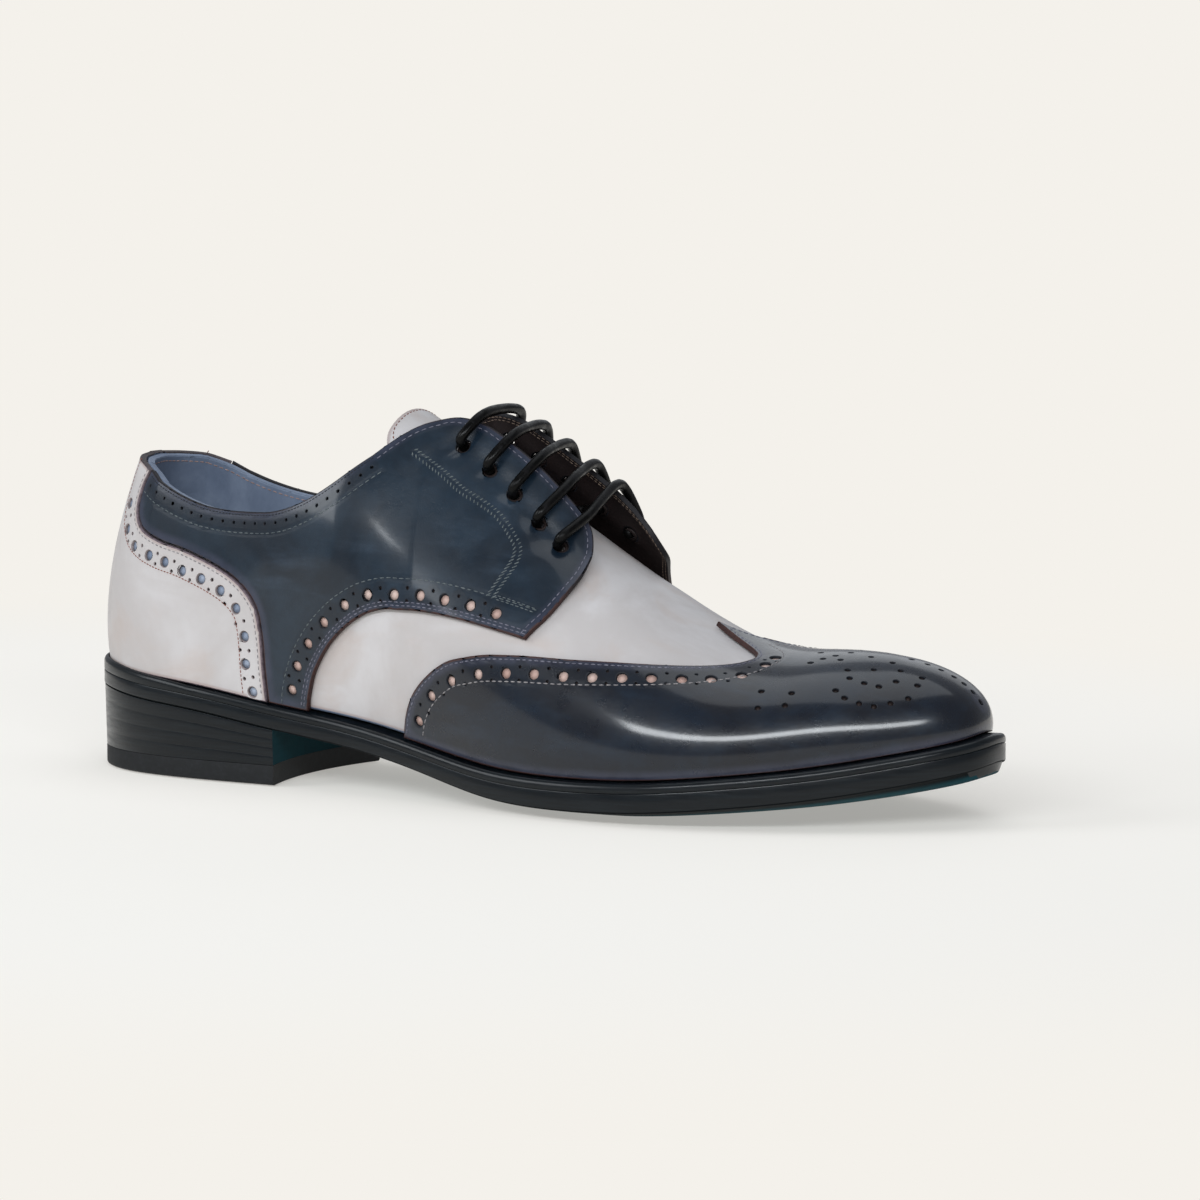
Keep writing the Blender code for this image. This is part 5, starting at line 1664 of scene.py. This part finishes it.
def make_backings(tan, blue, dark):
    """Backing leather that shows through the large punched holes, and dark pads of painted shade in the
    pinholes.
    """
    last = Chart(last_point)
    counter_face = OVERLAY_FACE + COUNTER_OVERLAY - OVERLAY
    band = spread(WING_HOLES + SWEEP_HOLES, BAND_HOLE)
    backing("band_backing", tan, last, band, OVERLAY_FACE - HOLE_DEPTH)
    backing("counter_backing", blue, last, spread(COUNTER_HOLES, COUNTER_HOLE), counter_face - HOLE_DEPTH)
    # Painted shade: the pinholes and the toe's medallion holes are filled with dark pads just below the face.
    deep = medallion()
    for side in (-1, 1):
        for holes in (WING_HOLES, SWEEP_HOLES):
            deep += pin_pairs(last, holes, BAND_PINS, side)
    backing("pinhole_painted_shade", dark, last, deep, OVERLAY_FACE - PIN_DEPTH)
    deep = [hole for side in (-1, 1) for hole in pin_pairs(last, COUNTER_HOLES, COUNTER_PINS, side)]
    backing("counter_pinhole_painted_shade", dark, last, deep, counter_face - COUNTER_PIN_DEPTH)


def floor_finish(name):
    """A matt floor that fades into the background's colour away from the shoe."""
    f = Finish(name, 0.9, Specular_IOR_Level=0.0)
    away = f.nodes.new("ShaderNodeVectorMath")
    away.operation = "LENGTH"
    f.wire(f.stretched((1.0, 1.3, 1.0)), away.inputs[0])
    near = f.ease(away.outputs["Value"], *FLOOR_REACH)
    x, y = f.split(f.place)["X"], f.split(f.place)["Y"]
    lit = FLOOR_LIT[0]
    for value, share in zip((x, y, f.sum("MULTIPLY", x, y), f.sum("MULTIPLY", y, y)), FLOOR_LIT[1:]):
        lit = f.sum("MULTIPLY_ADD", value, share, lit)
    f.feed("Base Color", f.blend(near, (0.0, 0.0, 0.0), FLOOR_COLOUR))
    f.feed("Emission Color", BACKGROUND)
    f.feed("Emission Strength", f.sum("MULTIPLY_ADD", f.sum("MULTIPLY", lit, near), -FLOOR_SHARE, 1.0))
    return f.material


def make_studio():
    """Pale floor, soft lights and the camera."""
    scene = bpy.context.scene
    scene.view_settings.view_transform = "Standard"
    bm = bmesh.new()
    bmesh.ops.create_grid(bm, x_segments=2, y_segments=2, size=12.0,
                          matrix=Matrix.Translation((0.1, 0.0, -FLOOR_DROP)))
    floor = mesh_object(bm, "studio_floor")
    floor.data.materials.append(floor_finish("studio_floor"))

    world = bpy.data.worlds.new("studio")
    world.use_nodes = True
    scene.world = world
    tree = world.node_tree
    seen = tree.nodes["Background"]
    seen.inputs["Color"].default_value = BACKGROUND
    light = tree.nodes.new("ShaderNodeBackground")
    light.inputs["Color"].default_value = WORLD_COLOUR
    light.inputs["Strength"].default_value = WORLD_LIGHT
    ray = tree.nodes.new("ShaderNodeLightPath")
    mix = tree.nodes.new("ShaderNodeMixShader")
    for i, output in enumerate((ray.outputs["Is Camera Ray"], light.outputs[0], seen.outputs[0])):
        tree.links.new(output, mix.inputs[i])
    tree.links.new(mix.outputs[0], tree.nodes["World Output"].inputs[0])

    for name, place, aim, size, power in SOFTBOXES:
        lamp = bpy.data.lights.new(name, "AREA")
        lamp.shape = "RECTANGLE"
        lamp.size, lamp.size_y = size
        lamp.energy = power
        lamp.color = LAMP_COLOUR
        held = linked(name, lamp)
        held.location = place
        held.rotation_euler = (Vector(place) - Vector(aim)).to_track_quat("Z", "Y").to_euler()

    turn, rise = math.radians(CAMERA_TURN), math.radians(CAMERA_RISE)
    back = Vector((math.sin(turn) * math.cos(rise), -math.cos(turn) * math.cos(rise), math.sin(rise)))
    camera = linked("camera", bpy.data.cameras.new("camera"))
    camera.location = Vector(CAMERA_AIM) + back * CAMERA_AWAY
    camera.rotation_euler = back.to_track_quat("Z", "Y").to_euler()
    camera.data.lens = CAMERA_LENS
    camera.data.sensor_width = 36.0
    camera.data.shift_x, camera.data.shift_y = CAMERA_SHIFT
    camera.data.clip_end = 60.0
    scene.camera = camera


def main():
    make_studio()
    navy = navy_finish("navy_leather", (0.0035, 0.009, 0.017), (0.009, 0.020, 0.034),
                       (0.026, 0.043, 0.068), 0.34, 0.65)
    burnished = navy_finish("navy_burnished", (0.0008, 0.0020, 0.006), (0.002, 0.007, 0.016),
                            (0.010, 0.022, 0.040), 0.30, 0.9)
    pale = pale_finish("pale_leather")
    # Inside the holes the navy cut edge is near black: painted shade in the narrow punched holes.
    navy_edge = cut_edge("navy_cut_edge", (0.050, 0.020, 0.017), (0.008, 0.008, 0.011),
                         (0.007, 0.010, 0.016), 58.0, 66.0)
    pale_edge = cut_edge("pale_cut_edge", (0.17, 0.13, 0.15), (0.05, 0.040, 0.042),
                         (0.26, 0.22, 0.22), 84.0, 96.0)
    blue = lining_finish("lining", (0.120, 0.155, 0.225), (0.200, 0.245, 0.330))
    brown = lining_finish("facing_lining", (0.010, 0.006, 0.006), (0.024, 0.014, 0.013))
    tan = lining_finish("band_backing", (0.42, 0.27, 0.23), (0.62, 0.48, 0.43))
    grey_blue = lining_finish("counter_backing", (0.16, 0.20, 0.28), (0.34, 0.39, 0.48))
    black = edge_finish("sole_edge", (0.0008, 0.0024, 0.0040), (0.0030, 0.0060, 0.0085), 0.34)
    teal = sole_bottom_finish("sole_bottom", True, (0.004, 0.038, 0.050), (0.007, 0.062, 0.078))
    # The heel breast is a darker copy of the sole bottom's teal: painted shade for the breast, which faces
    # the toe under the arch.
    breast = sole_bottom_finish("heel_breast_shaded_teal", False, (0.001, 0.018, 0.025), (0.002, 0.034, 0.045))
    rubber = rubber_finish("top_piece")
    cord = cord_finish("waxed_cord")

    make_outsole(black, teal)
    make_welt(black)
    make_heel(black, breast, rubber)
    make_insole(blue)
    make_upper(pale, blue)
    make_tongue(pale)
    rows = plan_rows()
    make_counter([pale, blue, pale_edge], rows)
    make_wing_cap([burnished, brown, navy_edge], rows)
    make_quarter("outer_quarter", "quarter_lateral", OUTER_FACING, OUTER_SWEEP, OUTER_EYELETS, -1,
                 [navy, brown, navy_edge], rows)
    make_quarter("inner_quarter", "quarter_medial", INNER_FACING, INNER_SWEEP, INNER_EYELETS, 1,
                 [navy, brown, navy_edge], rows)
    make_eyelet_linings(brown)
    make_lace(cord)
    make_rows(rows)
    make_backings(tan, grey_blue, brown)


main()
